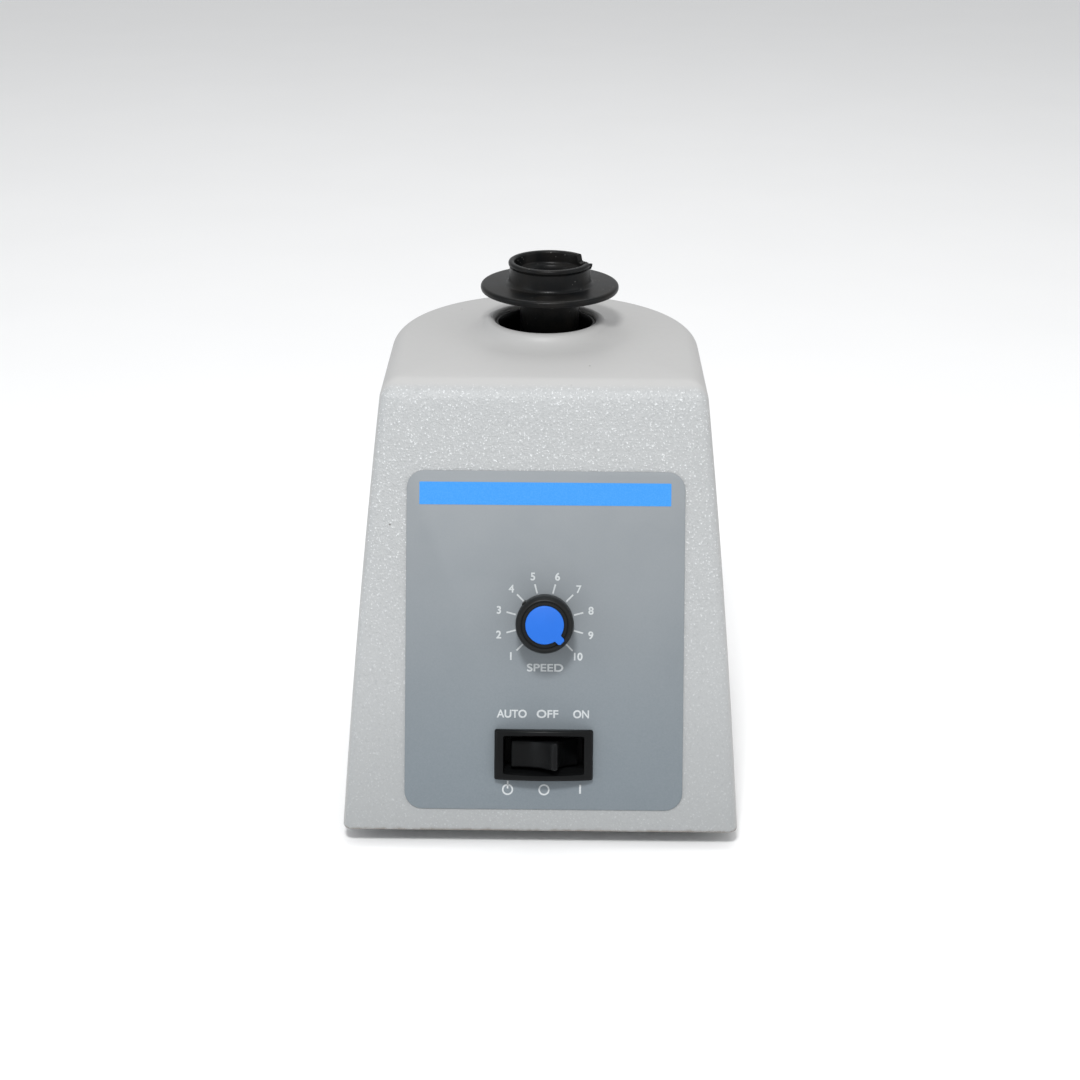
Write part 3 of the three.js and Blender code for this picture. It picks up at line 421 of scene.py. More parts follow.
def winding():
    """Enamelled copper wire laid in turns."""
    finish = Finish("copper_winding", Metallic=0.9, Coat_Weight=0.6, Coat_Roughness=0.15)
    turns = finish.node(
        "ShaderNodeTexWave",
        {"bands_direction": "X"},
        {"Vector": finish.place, "Scale": 330, "Distortion": 1.5, "Detail Scale": 200},
        "Fac",
    )
    tone = finish.blend(turns, (0.16, 0.035, 0.012), (0.52, 0.17, 0.06))
    cloud = finish.noise(6, 3)
    varied = finish.blend(cloud * 0.35, tone, (0.22, 0.06, 0.02))
    return finish.feed(
        Base_Color=varied, Roughness=cloud * 0.15 + 0.28, Normal=finish.bump(turns, 0.12)
    )


def circuit_board():
    finish = Finish("circuit_board", IOR=1.5, Coat_Weight=0.4, Coat_Roughness=0.2)
    weave = finish.noise(0.7, 2)
    tracks = finish.cells(5.5, "DISTANCE_TO_EDGE").step(0.05, 0.09)
    mask = finish.blend(tracks, (0.035, 0.23, 0.075), (0.012, 0.11, 0.035))
    colour = finish.blend(weave * 0.3, mask, (0.02, 0.16, 0.06))
    return finish.feed(
        Base_Color=colour, Roughness=weave * 0.15 + 0.3, Normal=finish.bump(1 - tracks, 0.05)
    )


def fuse_tube(low, high):
    """Glass in the middle and a metal cap on each end, told apart by the place along X."""
    finish = Finish("fuse_tube", IOR=1.5, Coat_Weight=0.5, Coat_Roughness=0.05)
    x = finish.along("X")
    caps = (1 - x.step(low + 4.8, low + 5.0)).maximum(x.step(high - 5.0, high - 4.8))
    haze = finish.noise(2.5, 3)
    glass = finish.blend(haze, (0.62, 0.68, 0.70), (0.72, 0.77, 0.78))
    colour = finish.blend(caps, glass, (0.72, 0.70, 0.66))
    return finish.feed(
        Base_Color=colour, Metallic=caps, Roughness=caps * 0.2 + haze * 0.1 + 0.08
    )


ZINC_PLATE = metal("zinc_plate", (0.52, 0.54, 0.56), (0.42, 0.43, 0.42), 0.34, size=1.2)
SPRING_STEEL = metal("spring_steel", (0.36, 0.37, 0.39), (0.26, 0.26, 0.27), 0.30, (1, 1, 3))
GROUND_STEEL = metal("ground_steel", (0.60, 0.61, 0.63), (0.50, 0.51, 0.53), 0.24, (0.3, 0.3, 6))
CAST_ALUMINIUM = metal(
    "cast_aluminium", (0.58, 0.59, 0.60), (0.47, 0.48, 0.49), 0.5, size=0.9, relief=0.06
)
TURNED_BRASS = metal("turned_brass", (0.60, 0.41, 0.14), (0.45, 0.30, 0.11), 0.28, (0.3, 0.3, 6))
LAMINATIONS = laminations()
WINDING = winding()
CIRCUIT_BOARD = circuit_board()
fuse_low, fuse_high = box_mm("mains_fuse")
FUSE_TUBE = fuse_tube(fuse_low.x, fuse_high.x)
print("made 9 metals and board finishes")

# %% [markdown]
# ## Tools for making pieces
#
# A turned part is a profile spun round Z. A drawing in a plane is an outline that is filled and
# extruded. After either, soften() bevels every sharp edge, because an edge with no radius never
# catches light and looks false. carve() and weld() are Boolean modifiers whose result is kept as
# plain mesh. finish_piece() does the last steps for every piece: placing, metres, smooth shading
# that keeps real edges sharp, a material, a body to ride on and the nodes it stands for.

# %% Tools for making pieces


def bend(start, pull, end, steps):
    """Points on a curve from start to end that is pulled towards a third point."""
    points = []
    for i in range(steps + 1):
        t = i / steps
        a, b, c = (1 - t) ** 2, 2 * t * (1 - t), t * t
        points.append(tuple(a * p + b * q + c * r for p, q, r in zip(start, pull, end)))
    return points


def arc(x, y, radius, start, end, steps):
    """Points on a circle, from one angle in degrees to another."""
    points = []
    for i in range(steps + 1):
        angle = math.radians(start + (end - start) * i / steps)
        points.append((x + radius * math.cos(angle), y + radius * math.sin(angle)))
    return points


def rounded_box(half_x, half_y, radius, x=0.0, y=0.0, steps=6):
    a, b = half_x - radius, half_y - radius
    return [
        *arc(x + a, y - b, radius, -90, 0, steps),
        *arc(x + a, y + b, radius, 0, 90, steps),
        *arc(x - a, y + b, radius, 90, 180, steps),
        *arc(x - a, y - b, radius, 180, 270, steps),
    ]


def turned(profile, steps=64):
    """Spins a closed profile of (radius, height) points round Z."""
    bm = bmesh.new()
    corners = [bm.verts.new((r, 0, z)) for r, z in profile]
    edges = [bm.edges.new(pair) for pair in zip(corners, corners[1:])]
    if profile[0][0] > 0 or profile[-1][0] > 0:
        edges.append(bm.edges.new((corners[-1], corners[0])))
    bmesh.ops.spin(
        bm,
        geom=corners + edges,
        axis=(0, 0, 1),
        cent=(0, 0, 0),
        angle=math.tau,
        steps=steps,
        use_merge=True,
    )
    bmesh.ops.remove_doubles(bm, verts=bm.verts, dist=1e-5)
    bmesh.ops.recalc_face_normals(bm, faces=bm.faces)
    return bm


def slab(outline, low, high):
    """Fills an outline in the XY plane and extrudes it in Z."""
    bm = bmesh.new()
    face = bm.faces.new([bm.verts.new((x, y, low)) for x, y in outline])
    grown = bmesh.ops.extrude_face_region(bm, geom=[face], use_keep_orig=True)
    top = [v for v in grown["geom"] if isinstance(v, bmesh.types.BMVert)]
    bmesh.ops.translate(bm, verts=top, vec=(0, 0, high - low))
    bmesh.ops.recalc_face_normals(bm, faces=bm.faces)
    return bm


def brick(x0, x1, y0, y1, z0, z1):
    bm = bmesh.new()
    bmesh.ops.create_cube(bm, size=1)
    bmesh.ops.scale(bm, verts=bm.verts, vec=(x1 - x0, y1 - y0, z1 - z0))
    bmesh.ops.translate(bm, verts=bm.verts, vec=((x0 + x1) / 2, (y0 + y1) / 2, (z0 + z1) / 2))
    return bm


def soften(bm, width, segments=3, sharper_than=30):
    """Bevels every edge that turns by more than an angle."""
    limit = math.radians(sharper_than)
    sharp = [e for e in bm.edges if len(e.link_faces) == 2 and e.calc_face_angle(0) > limit]
    bmesh.ops.bevel(
        bm,
        geom=sharp,
        offset=width,
        segments=segments,
        profile=0.5,
        affect="EDGES",
        material=-1,
        clamp_overlap=True,
    )
    return bm


def moved(bm, matrix):
    bmesh.ops.transform(bm, matrix=matrix, verts=bm.verts)
    return bm


def together(*parts):
    """Several meshes in one, without joining their surfaces."""
    whole = bmesh.new()
    for part in parts:
        mesh = bpy.data.meshes.new("part")
        part.to_mesh(mesh)
        part.free()
        whole.from_mesh(mesh)
        bpy.data.meshes.remove(mesh)
    return whole


def mesh_of(piece):
    """The finished mesh of a text or curve object, which is then thrown away."""
    in_scene(piece)
    mesh = bpy.data.meshes.new_from_object(
        piece.evaluated_get(bpy.context.evaluated_depsgraph_get())
    )
    bm = bmesh.new()
    bm.from_mesh(mesh)
    curve = piece.data
    bpy.data.objects.remove(piece)
    bpy.data.curves.remove(curve)
    bpy.data.meshes.remove(mesh)
    return bm


def staged(bm):
    """An object for a modifier to work on, thrown away by taken()."""
    mesh = bpy.data.meshes.new("shape")
    bm.to_mesh(mesh)
    return in_scene(bpy.data.objects.new("shape", mesh))


def taken(first, *others):
    """The first object's mesh after its modifiers."""
    result = bmesh.new()
    result.from_object(first, bpy.context.evaluated_depsgraph_get())
    for piece in (first, *others):
        mesh = piece.data
        bpy.data.objects.remove(piece)
        bpy.data.meshes.remove(mesh)
    return result


def boolean(base, tool, operation):
    whole, other = staged(base), staged(tool)
    base.free()
    tool.free()
    cut = whole.modifiers.new("cut", "BOOLEAN")
    cut.operation = operation
    cut.solver = "EXACT"
    cut.use_self = True
    cut.object = other
    return taken(whole, other)


def carve(base, *tools):
    for tool in tools:
        base = boolean(base, tool, "DIFFERENCE")
    return base


def weld(base, *tools):
    for tool in tools:
        base = boolean(base, tool, "UNION")
    return base


def finish_piece(name, bm, material, body, stands_for=(), place=None, smooth=35):
    """Makes a piece from a mesh drawn in millimetres, and gives it to a body."""
    if place is not None:
        moved(bm, place)
    bmesh.ops.scale(bm, verts=bm.verts, vec=(TO_METRES,) * 3)
    mesh = bpy.data.meshes.new(name)
    bm.to_mesh(mesh)
    bm.free()
    mesh.shade_smooth()
    mesh.set_sharp_from_angle(angle=math.radians(smooth))
    mesh.materials.clear()
    mesh.materials.append(material)
    piece = in_scene(bpy.data.objects.new(name, mesh))
    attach(piece, body)
    if stands_for:
        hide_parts(*stands_for)
    print(f"{name}: {len(mesh.polygons)} faces")
    return piece


# %% [markdown]
# ## The camera, the lamps and the table
#
# The camera stands a little over half a metre from the mixer and looks down on it by 24 degrees,
# so the sloping front is seen almost square on. A bright surrounding and four soft lamps make a
# plain studio. The lamp above and in front is the smallest and the strongest: it draws the thin
# lights on black edges, and glints on the pebbles of the paint, which the coat's colour adds to
# with painted highlights.

# %% Camera, lamps and table


def aim_camera():
    target = Vector((FACE_X * TO_METRES - 0.0002, housing_low.y * TO_METRES + 0.045, 0.08))
    distance = 0.601
    azimuth, elevation, roll = (math.radians(a) for a in (0.3, 23.9, 0.4))
    back = Vector((
        math.sin(azimuth) * math.cos(elevation),
        -math.cos(azimuth) * math.cos(elevation),
        math.sin(elevation),
    ))
    right = (-back).cross(Vector((0, 0, 1))).normalized()
    up = right.cross(-back)
    level = Matrix((right, up, back)).transposed()
    tilted = level @ Matrix.Rotation(roll, 3, "Z")
    lens = bpy.data.cameras.new("camera")
    lens.lens = 62.75
    lens.sensor_width = 36
    lens.shift_x = -5 / 1080
    lens.shift_y = 15 / 1080
    lens.clip_start = 0.01
    camera = in_scene(bpy.data.objects.new("camera", lens))
    camera.matrix_world = Matrix.Translation(target + back * distance) @ tilted.to_4x4()
    bpy.context.scene.camera = camera


def soft_lamp(name, place, size, watts, colour=(1, 1, 1)):
    light = bpy.data.lights.new(name, "AREA")
    light.shape = "SQUARE"
    light.size = size
    light.energy = watts
    light.color = colour
    lamp = in_scene(bpy.data.objects.new(name, light))
    lamp.location = place
    lamp.rotation_euler = (Vector((0, 0, 0.08)) - lamp.location).to_track_quat("-Z", "Y").to_euler()


def table_finish():
    finish = Finish("pale_table")
    cloud = finish.noise(90, 3)
    colour = finish.blend(cloud, (0.93, 0.93, 0.93), (0.95, 0.95, 0.95))
    return finish.feed(Base_Color=colour, Roughness=cloud * 0.1 + 0.6)


def lay_table():
    bm = bmesh.new()
    bmesh.ops.create_grid(bm, x_segments=2, y_segments=2, size=3)
    mesh = bpy.data.meshes.new("table")
    bm.to_mesh(mesh)
    bm.free()
    mesh.materials.append(table_finish())
    table = in_scene(bpy.data.objects.new("table", mesh))
    table.location.z = -0.0002


def light_studio():
    world = bpy.data.worlds.new("studio")
    world.use_nodes = True
    background = world.node_tree.nodes["Background"]
    background.inputs["Color"].default_value = (0.98, 0.99, 1.0, 1)
    background.inputs["Strength"].default_value = 0.62
    bpy.context.scene.world = world
    soft_lamp("key", (-0.06, -0.62, 0.92), 0.16, 6.5)  # place, size in metres, watts
    soft_lamp("top", (0.05, 0.55, 1.3), 1.0, 4.2)
    soft_lamp("fill_left", (-1.0, -0.45, 0.45), 0.5, 1.6, (0.85, 0.93, 1.0))
    soft_lamp("fill_right", (1.0, -0.35, 0.5), 0.7, 1.6)


bpy.context.scene.view_settings.view_transform = "Standard"
aim_camera()
lay_table()
light_studio()
print("camera, four lamps and a table")

# %% [markdown]
# ## The housing's skin
#
# The real housing is one casting: a flat front that leans back, two upright front corners,
# straight sides and a half-round back. All of it narrows upwards, and a rounded edge of 5.5 mm
# leads to the slightly crowned top. A swept collar rises there round the opening. One ring of
# points is drawn at the bottom edge and then extruded upwards ring by ring. Every point keeps
# its number along the outline, so that each new ring can be put where its height says.

# %% Housing outline
WALL = 3.5
TOP_FILLET = 5.5
FRONT_CORNER = 3.0
SIDE_BULGE = 0.8
COLLAR_RISE = 5.2
CROWN = 0.9  # how far the top rises from its edge to the foot of the collar
COLLAR_BORE = 16.9
COLLAR_FOOT = 28.5
HOUSING_TOP = housing_high.z - COLLAR_RISE
BASE_HALF_WIDTH = housing_high.x
TOP_HALF_WIDTH = 51.0


def half_width(z):
    t = (z - housing_low.z) / (HOUSING_TOP - housing_low.z)
    straight = BASE_HALF_WIDTH + (TOP_HALF_WIDTH - BASE_HALF_WIDTH) * t
    return straight + 4 * SIDE_BULGE * t * (1 - t)


def outline(z, inset=0.0):
    """Points from the front right corner round the back to the front left corner."""
    half = half_width(z) - inset
    front = housing_low.y + (z - housing_low.z) * math.tan(LEAN) + inset / math.cos(LEAN)
    corner = max(FRONT_CORNER - inset / 2, 2)
    side = [front + corner + (AXIS_Y - front - corner) * i / 8 for i in range(1, 8)]
    right = arc(half - corner, front + corner, corner, -90, 0, 8)
    left = arc(-half + corner, front + corner, corner, 180, 270, 8)
    back = arc(0, AXIS_Y, half, 0, 180, 56)
    across = [(-1 + 2 * i / 12) * (half - corner) for i in range(1, 12)]
    return [
        *right,
        *((half, y) for y in side),
        *back,
        *((-half, y) for y in reversed(side)),
        *left,
        *((x, front) for x in across),
    ]


def rings():
    """Every ring of the skin from the bottom edge to the inside of the opening."""
    for z, inset in ((0, 0.7), (0.2, 0.2), (0.7, 0)):
        yield [(x, y, housing_low.z + z) for x, y in outline(housing_low.z + z, inset)]
    fillet_start = HOUSING_TOP - TOP_FILLET
    for i in range(1, 15):
        z = housing_low.z + 0.7 + (fillet_start - housing_low.z - 0.7) * i / 14
        yield [(x, y, z) for x, y in outline(z)]
    for i in range(1, 13):
        angle = math.radians(84 * i / 12)
        z = fillet_start + TOP_FILLET * math.sin(angle)
        last = [(x, y, z) for x, y in outline(z, TOP_FILLET * (1 - math.cos(angle)))]
        yield last
    spokes = [Vector((x, y - AXIS_Y)).normalized() for x, y, z in last]
    for t in (0.2, 0.4, 0.6, 0.8):
        yield [
            (
                x + (spoke.x * COLLAR_FOOT - x) * t,
                y + (AXIS_Y + spoke.y * COLLAR_FOOT - y) * t,
                z + (HOUSING_TOP + CROWN - z) * t * (2 - t),
            )
            for (x, y, z), spoke in zip(last, spokes)
        ]
    for radius, rise in collar_profile():
        yield [
            (spoke.x * radius, AXIS_Y + spoke.y * radius, HOUSING_TOP + rise)
            for spoke in spokes
        ]


def collar_profile():
    flare = bend((COLLAR_FOOT, CROWN), (22.9, CROWN + 0.1), (20.7, 3.6), 10)
    shoulder = bend((20.7, 3.6), (19.8, COLLAR_RISE), (18.2, COLLAR_RISE), 5)
    lip = bend((18.2, COLLAR_RISE), (COLLAR_BORE, COLLAR_RISE), (COLLAR_BORE, 3.8), 5)
    return [*flare, *shoulder[1:], *lip[1:], (COLLAR_BORE, -WALL)]


def skin():
    bm = bmesh.new()
    number = bm.verts.layers.int.new("number")
    every = iter(rings())
    first = [bm.verts.new(point) for point in next(every)]
    for i, vertex in enumerate(first):
        vertex[number] = i
    edges = [bm.edges.new((a, b)) for a, b in zip(first, first[1:] + first[:1])]
    for ring in every:
        grown = bmesh.ops.extrude_edge_only(bm, edges=edges)["geom"]
        fresh = {v for v in grown if isinstance(v, bmesh.types.BMVert)}
        for vertex in fresh:
            vertex.co = ring[vertex[number]]
        edges = [
            e for e in grown if isinstance(e, bmesh.types.BMEdge) and set(e.verts) <= fresh
        ]
    bmesh.ops.recalc_face_normals(bm, faces=bm.faces)
    return bm


skin_mesh = skin()
print("skin:", len(skin_mesh.faces), "faces")

# %% [markdown]
# ## From skin to casting
#
# The skin gets its wall by a solidify operator. The back then needs a flat for the mains inlet:
# a thick pad is added inside, trimmed to the outer shape, and a recess is cut into it. Holes for
# the inlet, the knob's bushing and the switch follow. The posts that carry the motor and the
# bosses that take the foot screws stand inside the casting.

# %% Casting
INLET_Z = centre_mm("inlet_body").z
PAD_Y = 77.0
PAD_HALF_WIDTH = 20.0


def filled_skin():
    """The skin with its two openings closed, as a solid to trim other shapes with."""
    solid = skin_mesh.copy()
    rim = [e for e in solid.edges if e.is_boundary]
    bmesh.ops.holes_fill(solid, edges=rim, sides=0)
    bmesh.ops.recalc_face_normals(solid, faces=solid.faces)
    return solid


def walled():
    """The skin given its wall thickness inwards."""
    piece = staged(skin_mesh)
    wall = piece.modifiers.new("wall", "SOLIDIFY")
    wall.thickness = WALL
    wall.offset = -1
    wall.use_even_offset = True
    return taken(piece)


def casting():
    pad = brick(-26, 26, PAD_Y - WALL, PAD_Y + 9, housing_low.z + 4.6, INLET_Z + 26)
    pad = boolean(pad, filled_skin(), "INTERSECT")
    recess = slab(rounded_box(PAD_HALF_WIDTH, 21.75, 3), 0, 12)
    moved(recess, at(0, PAD_Y, INLET_Z + 0.25) @ turn(-90, "X"))
    inlet_hole = brick(-14.1, 14.1, PAD_Y - 10, PAD_Y + 2, INLET_Z - 17.6, INLET_Z + 17.6)
    bushing_hole = moved(slab(arc(0, 0, 3.9, 0, 345, 23), -8, 3), on_face(KNOB_UP))
    switch_hole = moved(brick(-13.6, 13.6, -6.9, 6.9, -8, 3), on_face(SWITCH_UP))
    shell = weld(walled(), pad)
    return carve(shell, recess, inlet_hole, bushing_hole, switch_hole)


def posts():
    """Motor posts under the top and screw bosses at the bottom, each with a pilot hole."""
    parts = []
    for i in range(1, 4):
        centre = centre_mm(f"guide_screw_{i}")
        profile = [(2.3, 0), (4.6, 0), (5, 0.4), (5, 36.2), (6.5, 37.6), (2.3, 37.6)]
        post_at = at(centre.x, centre.y, HOUSING_TOP - WALL - 36.2)
        parts.append(moved(turned(profile, 32), post_at))
    for i in range(1, 5):
        centre = centre_mm(f"foot_screw_{i}")
        boss = turned([(2.3, 0), (5.1, 0), (5.5, 0.4), (5.2, 16.7), (2.3, 16.7)], 32)
        parts.append(moved(boss, at(centre.x, centre.y, housing_low.z + 4.3)))
        reach = math.copysign(BASE_HALF_WIDTH - WALL, centre.x)
        x0, x1 = sorted((centre.x, reach if abs(centre.y) > 60 else centre.x * 1.3))
        parts.append(brick(x0, x1, centre.y - 1.2, centre.y + 1.2, housing_low.z + 4.3, 26))
    return together(*parts)


finish_piece(
    "housing_casting", together(casting(), posts()), POWDER_COAT, "frame", ["housing"],
    smooth=28,
)
skin_mesh.free()

# %% [markdown]
# ## The printed label
#
# The label is a polyester film with rounded corners, stuck on the front. Its inks sit on the
# film as a very thin layer: a blue band, the dial's marks and numbers, and the switch's words
# and signs. Thin geometry keeps their edges crisp at any distance. Words start as text objects,
# become meshes and are scaled to the height of the print.

# %% Label film


def extent(points):
    """The lowest and the highest corner of the box round some points."""
    return [Vector(pick(p[i] for p in points) for i in range(3)) for pick in (min, max)]


def face_box(node):
    """A node's box in the frame of the sloping front, in millimetres."""
    flat = FACE.inverted()
    return extent([flat @ (v.co * 1000) for v in frame["nodes"][node].data.vertices])


label_low, label_high = face_box("control_label")
FILM_TOP = 0.5


def film():
    middle = (label_low.y + label_high.y) / 2
    edge = rounded_box(label_high.x, (label_high.y - label_low.y) / 2, 5.6, 0, middle, 10)
    bm = slab(edge, 0.06, FILM_TOP)
    bushing = moved(slab(arc(0, 0, 6.2, 0, 350, 35), -1, 2), at(0, KNOB_UP, 0))
    slot = moved(brick(-13.8, 13.8, -7.1, 7.1, -1, 2), at(0, SWITCH_UP, 0))
    return carve(soften(bm, 0.15, 2), bushing, slot)


finish_piece(
    "label_film", film(), LABEL_FILM, "frame", ["control_label"], FACE, 50
)

# %% Printed words, marks and signs
INK_LOW = FILM_TOP - 0.03
INK_HIGH = FILM_TOP + 0.05
DIGIT_HEIGHT = 2.5
BOLDER = 0.10  # each stroke is fattened by this on both sides


def words(text, height, x, y, width=None):
    """Text as a thin mesh of an exact height and, if given, width, centred on x, y."""
    curve = bpy.data.curves.new("words", "FONT")
    curve.body = text
    curve.extrude = 0.5
    bm = mesh_of(bpy.data.objects.new("words", curve))
    bmesh.ops.remove_doubles(bm, verts=bm.verts, dist=1e-4)
    bmesh.ops.recalc_face_normals(bm, faces=bm.faces)
    low, high = extent([v.co for v in bm.verts])
    up = (height - 2 * BOLDER) / (high.y - low.y)
    across = (width - 2 * BOLDER) / (high.x - low.x) if width else up
    bmesh.ops.translate(bm, verts=bm.verts, vec=-(low + high) / 2)
    bmesh.ops.scale(bm, verts=bm.verts, vec=(across, up, (INK_HIGH - INK_LOW) / (high.z - low.z)))
    bmesh.ops.translate(bm, verts=bm.verts, vec=(x, y, (INK_LOW + INK_HIGH) / 2))
    bm.normal_update()
    for vertex in bm.verts:
        vertex.co += Vector((vertex.normal.x, vertex.normal.y, 0)).normalized() * BOLDER
    return bm


def bar(x, y, length, width, angle=0.0):
    """A short printed line, centred on x, y."""
    bm = brick(-length / 2, length / 2, -width / 2, width / 2, INK_LOW, INK_HIGH)
    return moved(bm, at(x, y) @ turn(angle, "Z"))


def hoop(x, y, radius, stroke):
    outer, inner = radius, radius - stroke
    profile = [(inner, INK_LOW), (outer, INK_LOW), (outer, INK_HIGH), (inner, INK_HIGH)]
    return moved(turned(profile, 40), at(x, y, 0))


def dial():
    parts = []
    for i in range(10):
        angle = 225 - 30 * i
        dx, dy = math.cos(math.radians(angle)), math.sin(math.radians(angle))
        parts.append(bar(dx * 10.9, KNOB_UP + dy * 10.9, 3.0, 0.5, angle))
        parts.append(words(str(i + 1), DIGIT_HEIGHT, dx * 14.9, KNOB_UP + dy * 14.9))
    parts.append(words("SPEED", 2.5, 0.2, KNOB_UP - 14.1, 11.4))
    return parts


def switch_signs():
    words_up = SWITCH_UP + 12.6
    signs_up = SWITCH_UP - 11.2
    return [
        words("AUTO", 2.6, -10.1, words_up, 9.4),
        words("OFF", 2.6, 1.1, words_up, 6.8),
        words("ON", 2.6, 11.6, words_up, 5.0),
        hoop(-11.2, signs_up, 1.75, 0.5),
        bar(-11.2, signs_up + 1.5, 2.4, 0.5, 90),
        hoop(0.2, signs_up, 1.75, 0.5),
        bar(11.5, signs_up + 0.3, 2.8, 0.6, 90),
    ]


finish_piece(
    "label_print_white", together(*dial(), *switch_signs()), WHITE_INK, "frame",
    place=FACE,
)
finish_piece(
    "label_print_blue",
    slab(rounded_box(39.3, 3.55, 0.2, -0.2, label_high.y - 7.1, 2), INK_LOW, INK_HIGH),
    BLUE_INK, "frame", place=FACE,
)

# %% [markdown]
# ## The speed knob
#
# A collet knob: a black body with a rounded shoulder and a shallow groove round its face, and a
# blue cap that hides the collet's nut. The cap's nose points at the dial. A small rib on the
# opposite side of the body is the mark that a thumb finds.

# %% Speed knob
KNOB_RADIUS = 9.0
POINTS_AT = -45
knob_place = on_face(KNOB_UP) @ turn(POINTS_AT, "Z")


def cap_outline(grow=0.0):
    """A disc with a nose towards +X."""
    radius, half_nose, tip = 5.9 + grow, 1.25 + grow, 7.7 + grow
    start = math.degrees(math.asin(half_nose / radius))
    disc = arc(0, 0, radius, start, 360 - start, 64)
    side, end = tip - 0.5, half_nose - 0.5
    return [*disc, (side, -half_nose), (tip, -end), (tip, end), (side, half_nose)]


def knob_body():
    shoulder = bend((KNOB_RADIUS, 10.2), (KNOB_RADIUS - 0.1, 12.4), (KNOB_RADIUS - 1.4, 13.1), 8)
    edges = [KNOB_RADIUS - inset for inset in (1.7, 1.9, 2.1)]
    groove = bend((edges[0], 13.1), (edges[1], 12.7), (edges[2], 13.4), 4)
    profile = [
        (6.9, 1.0), (KNOB_RADIUS - 0.2, 1.0), (KNOB_RADIUS, 1.2), *shoulder, *groove,
        (5.4, 13.5), (0, 13.5), (0, 10.8), (3.3, 10.8), (3.3, 5.4), (6.9, 5.4),
    ]
    body = turned(profile, 96)
    recess = slab(cap_outline(0.12), 12.3, 15)
    rib = soften(brick(-KNOB_RADIUS - 0.4, -KNOB_RADIUS + 1.2, -0.7, 0.7, 1.2, 10.8), 0.25)
    return carve(weld(body, rib), recess)


def knob_cap():
    bm = slab(cap_outline(), 12.4, 14.0)
    return soften(bm, 0.3, 3, 50)


finish_piece(
    "knob_body_turned", knob_body(), KNOB_PLASTIC, "speed_control", ["knob_body"],
    knob_place,
)
finish_piece(
    "knob_cap_moulded", knob_cap(), BLUE_PLASTIC, "speed_control", ["knob_cap"],
    knob_place,
)

# %% [markdown]
# ## The rocker switch
#
# The bezel is arched, so it stands proud in the middle, and its inner walls slope down to the
# rocker. The rocker has two hollow wings and a ridge. It rests tilted, with its right end
# pressed in, which is where the word ON is. Its profile is drawn level and tilted afterwards
# about the pivot, as the real one is.

# %% Rocker switch
SWITCH_PLACE = on_face(SWITCH_UP)
WELL_HALF_LENGTH = 12.4
WELL_HALF_HEIGHT = 4.7
PIVOT_OUT = (FACE.inverted() @ joint_mm("rocker_tilt")).z
ROCKER_TILT = 17.4
ACROSS = turn(90, "X")  # a drawing in x and height, pushed along y


def switch_bezel():
    low, high = face_box("switch_body")
    half = high.x
    ends = 2.5
    arch = bend((half, ends), (0, high.z * 2 - ends), (-half, ends), 24)
    shell = moved(slab([(-half, FILM_TOP), (half, FILM_TOP), *arch], -7.9, 7.9), ACROSS)
    soften(shell, 0.7, 4, 40)
    case = soften(brick(-13.2, 13.2, -6.5, 6.5, low.z + 3.5, 1.2), 0.4)
    well = bmesh.new()
    bmesh.ops.create_cube(well, size=2)
    bmesh.ops.scale(well, verts=well.verts, vec=(WELL_HALF_LENGTH, WELL_HALF_HEIGHT, 5))
    bmesh.ops.translate(well, verts=well.verts, vec=(0, 0, 1.5))
    mouth = [v for v in well.verts if v.co.z > 0]
    bmesh.ops.scale(well, verts=mouth, vec=(1.03, 1.38, 1))
    soften(well, 0.5, 3)
    room = brick(-WELL_HALF_LENGTH, WELL_HALF_LENGTH, -WELL_HALF_HEIGHT, WELL_HALF_HEIGHT, -15, -3)
    return carve(weld(shell, case), well, room)


def terminals():
    low = face_box("switch_body")[0].z
    tags = [soften(brick(x - 3, x + 3, -0.4, 0.4, low, low + 6), 0.15) for x in (-8, 0, 8)]
    return together(*tags)


def rocker():
    ridge = 12.5
    wing = bend((11.1, 1.2), (3.4, 2.4), (0.9, ridge - 0.6), 16)
    crest = bend((0.9, ridge - 0.6), (0, ridge + 0.7), (-0.9, ridge - 0.6), 6)
    side = [(-9.6, -4.5), (9.6, -4.5), *wing, *crest[1:-1], *((-x, z) for x, z in reversed(wing))]
    bm = moved(slab(side, -4.3, 4.3), ACROSS)
    return soften(bm, 0.6, 4, 50)


finish_piece(
    "switch_bezel", switch_bezel(), BLACK_PLASTIC, "frame", ["switch_body"],
    SWITCH_PLACE,
)
finish_piece(
    "switch_terminals", terminals(), TURNED_BRASS, "frame", place=SWITCH_PLACE
)
rocker_place = SWITCH_PLACE @ at(0, 0, PIVOT_OUT) @ turn(ROCKER_TILT, "Y")
finish_piece(
    "rocker_moulded", rocker(), BLACK_PLASTIC, "rocker", ["switch_rocker"],
    rocker_place,
)

# %% [markdown]
# ## The rubber cup
#
# The cup is one moulding of soft rubber: a bowl that takes the tube, a wide flange that keeps
# drips out of the motor, and a neck that grips the carrier below. It is a spun profile with many
# steps, because its round edge is the first thing that is seen. This one has been used hard: a
# strip of its lip has torn away on the right. The lip's points there are pushed down to the
# level of the tear, with a ragged edge and a small flap left standing at one end.

# %% Rubber cup
cup_low, cup_high = box_mm("mixing_cup")
pin = joint_mm("head_turn")
CUP_PLACE = at(pin.x, pin.y, cup_high.z)
FLANGE_DROP = 7.7
FLANGE_RADIUS = (cup_high.x - cup_low.x) / 2


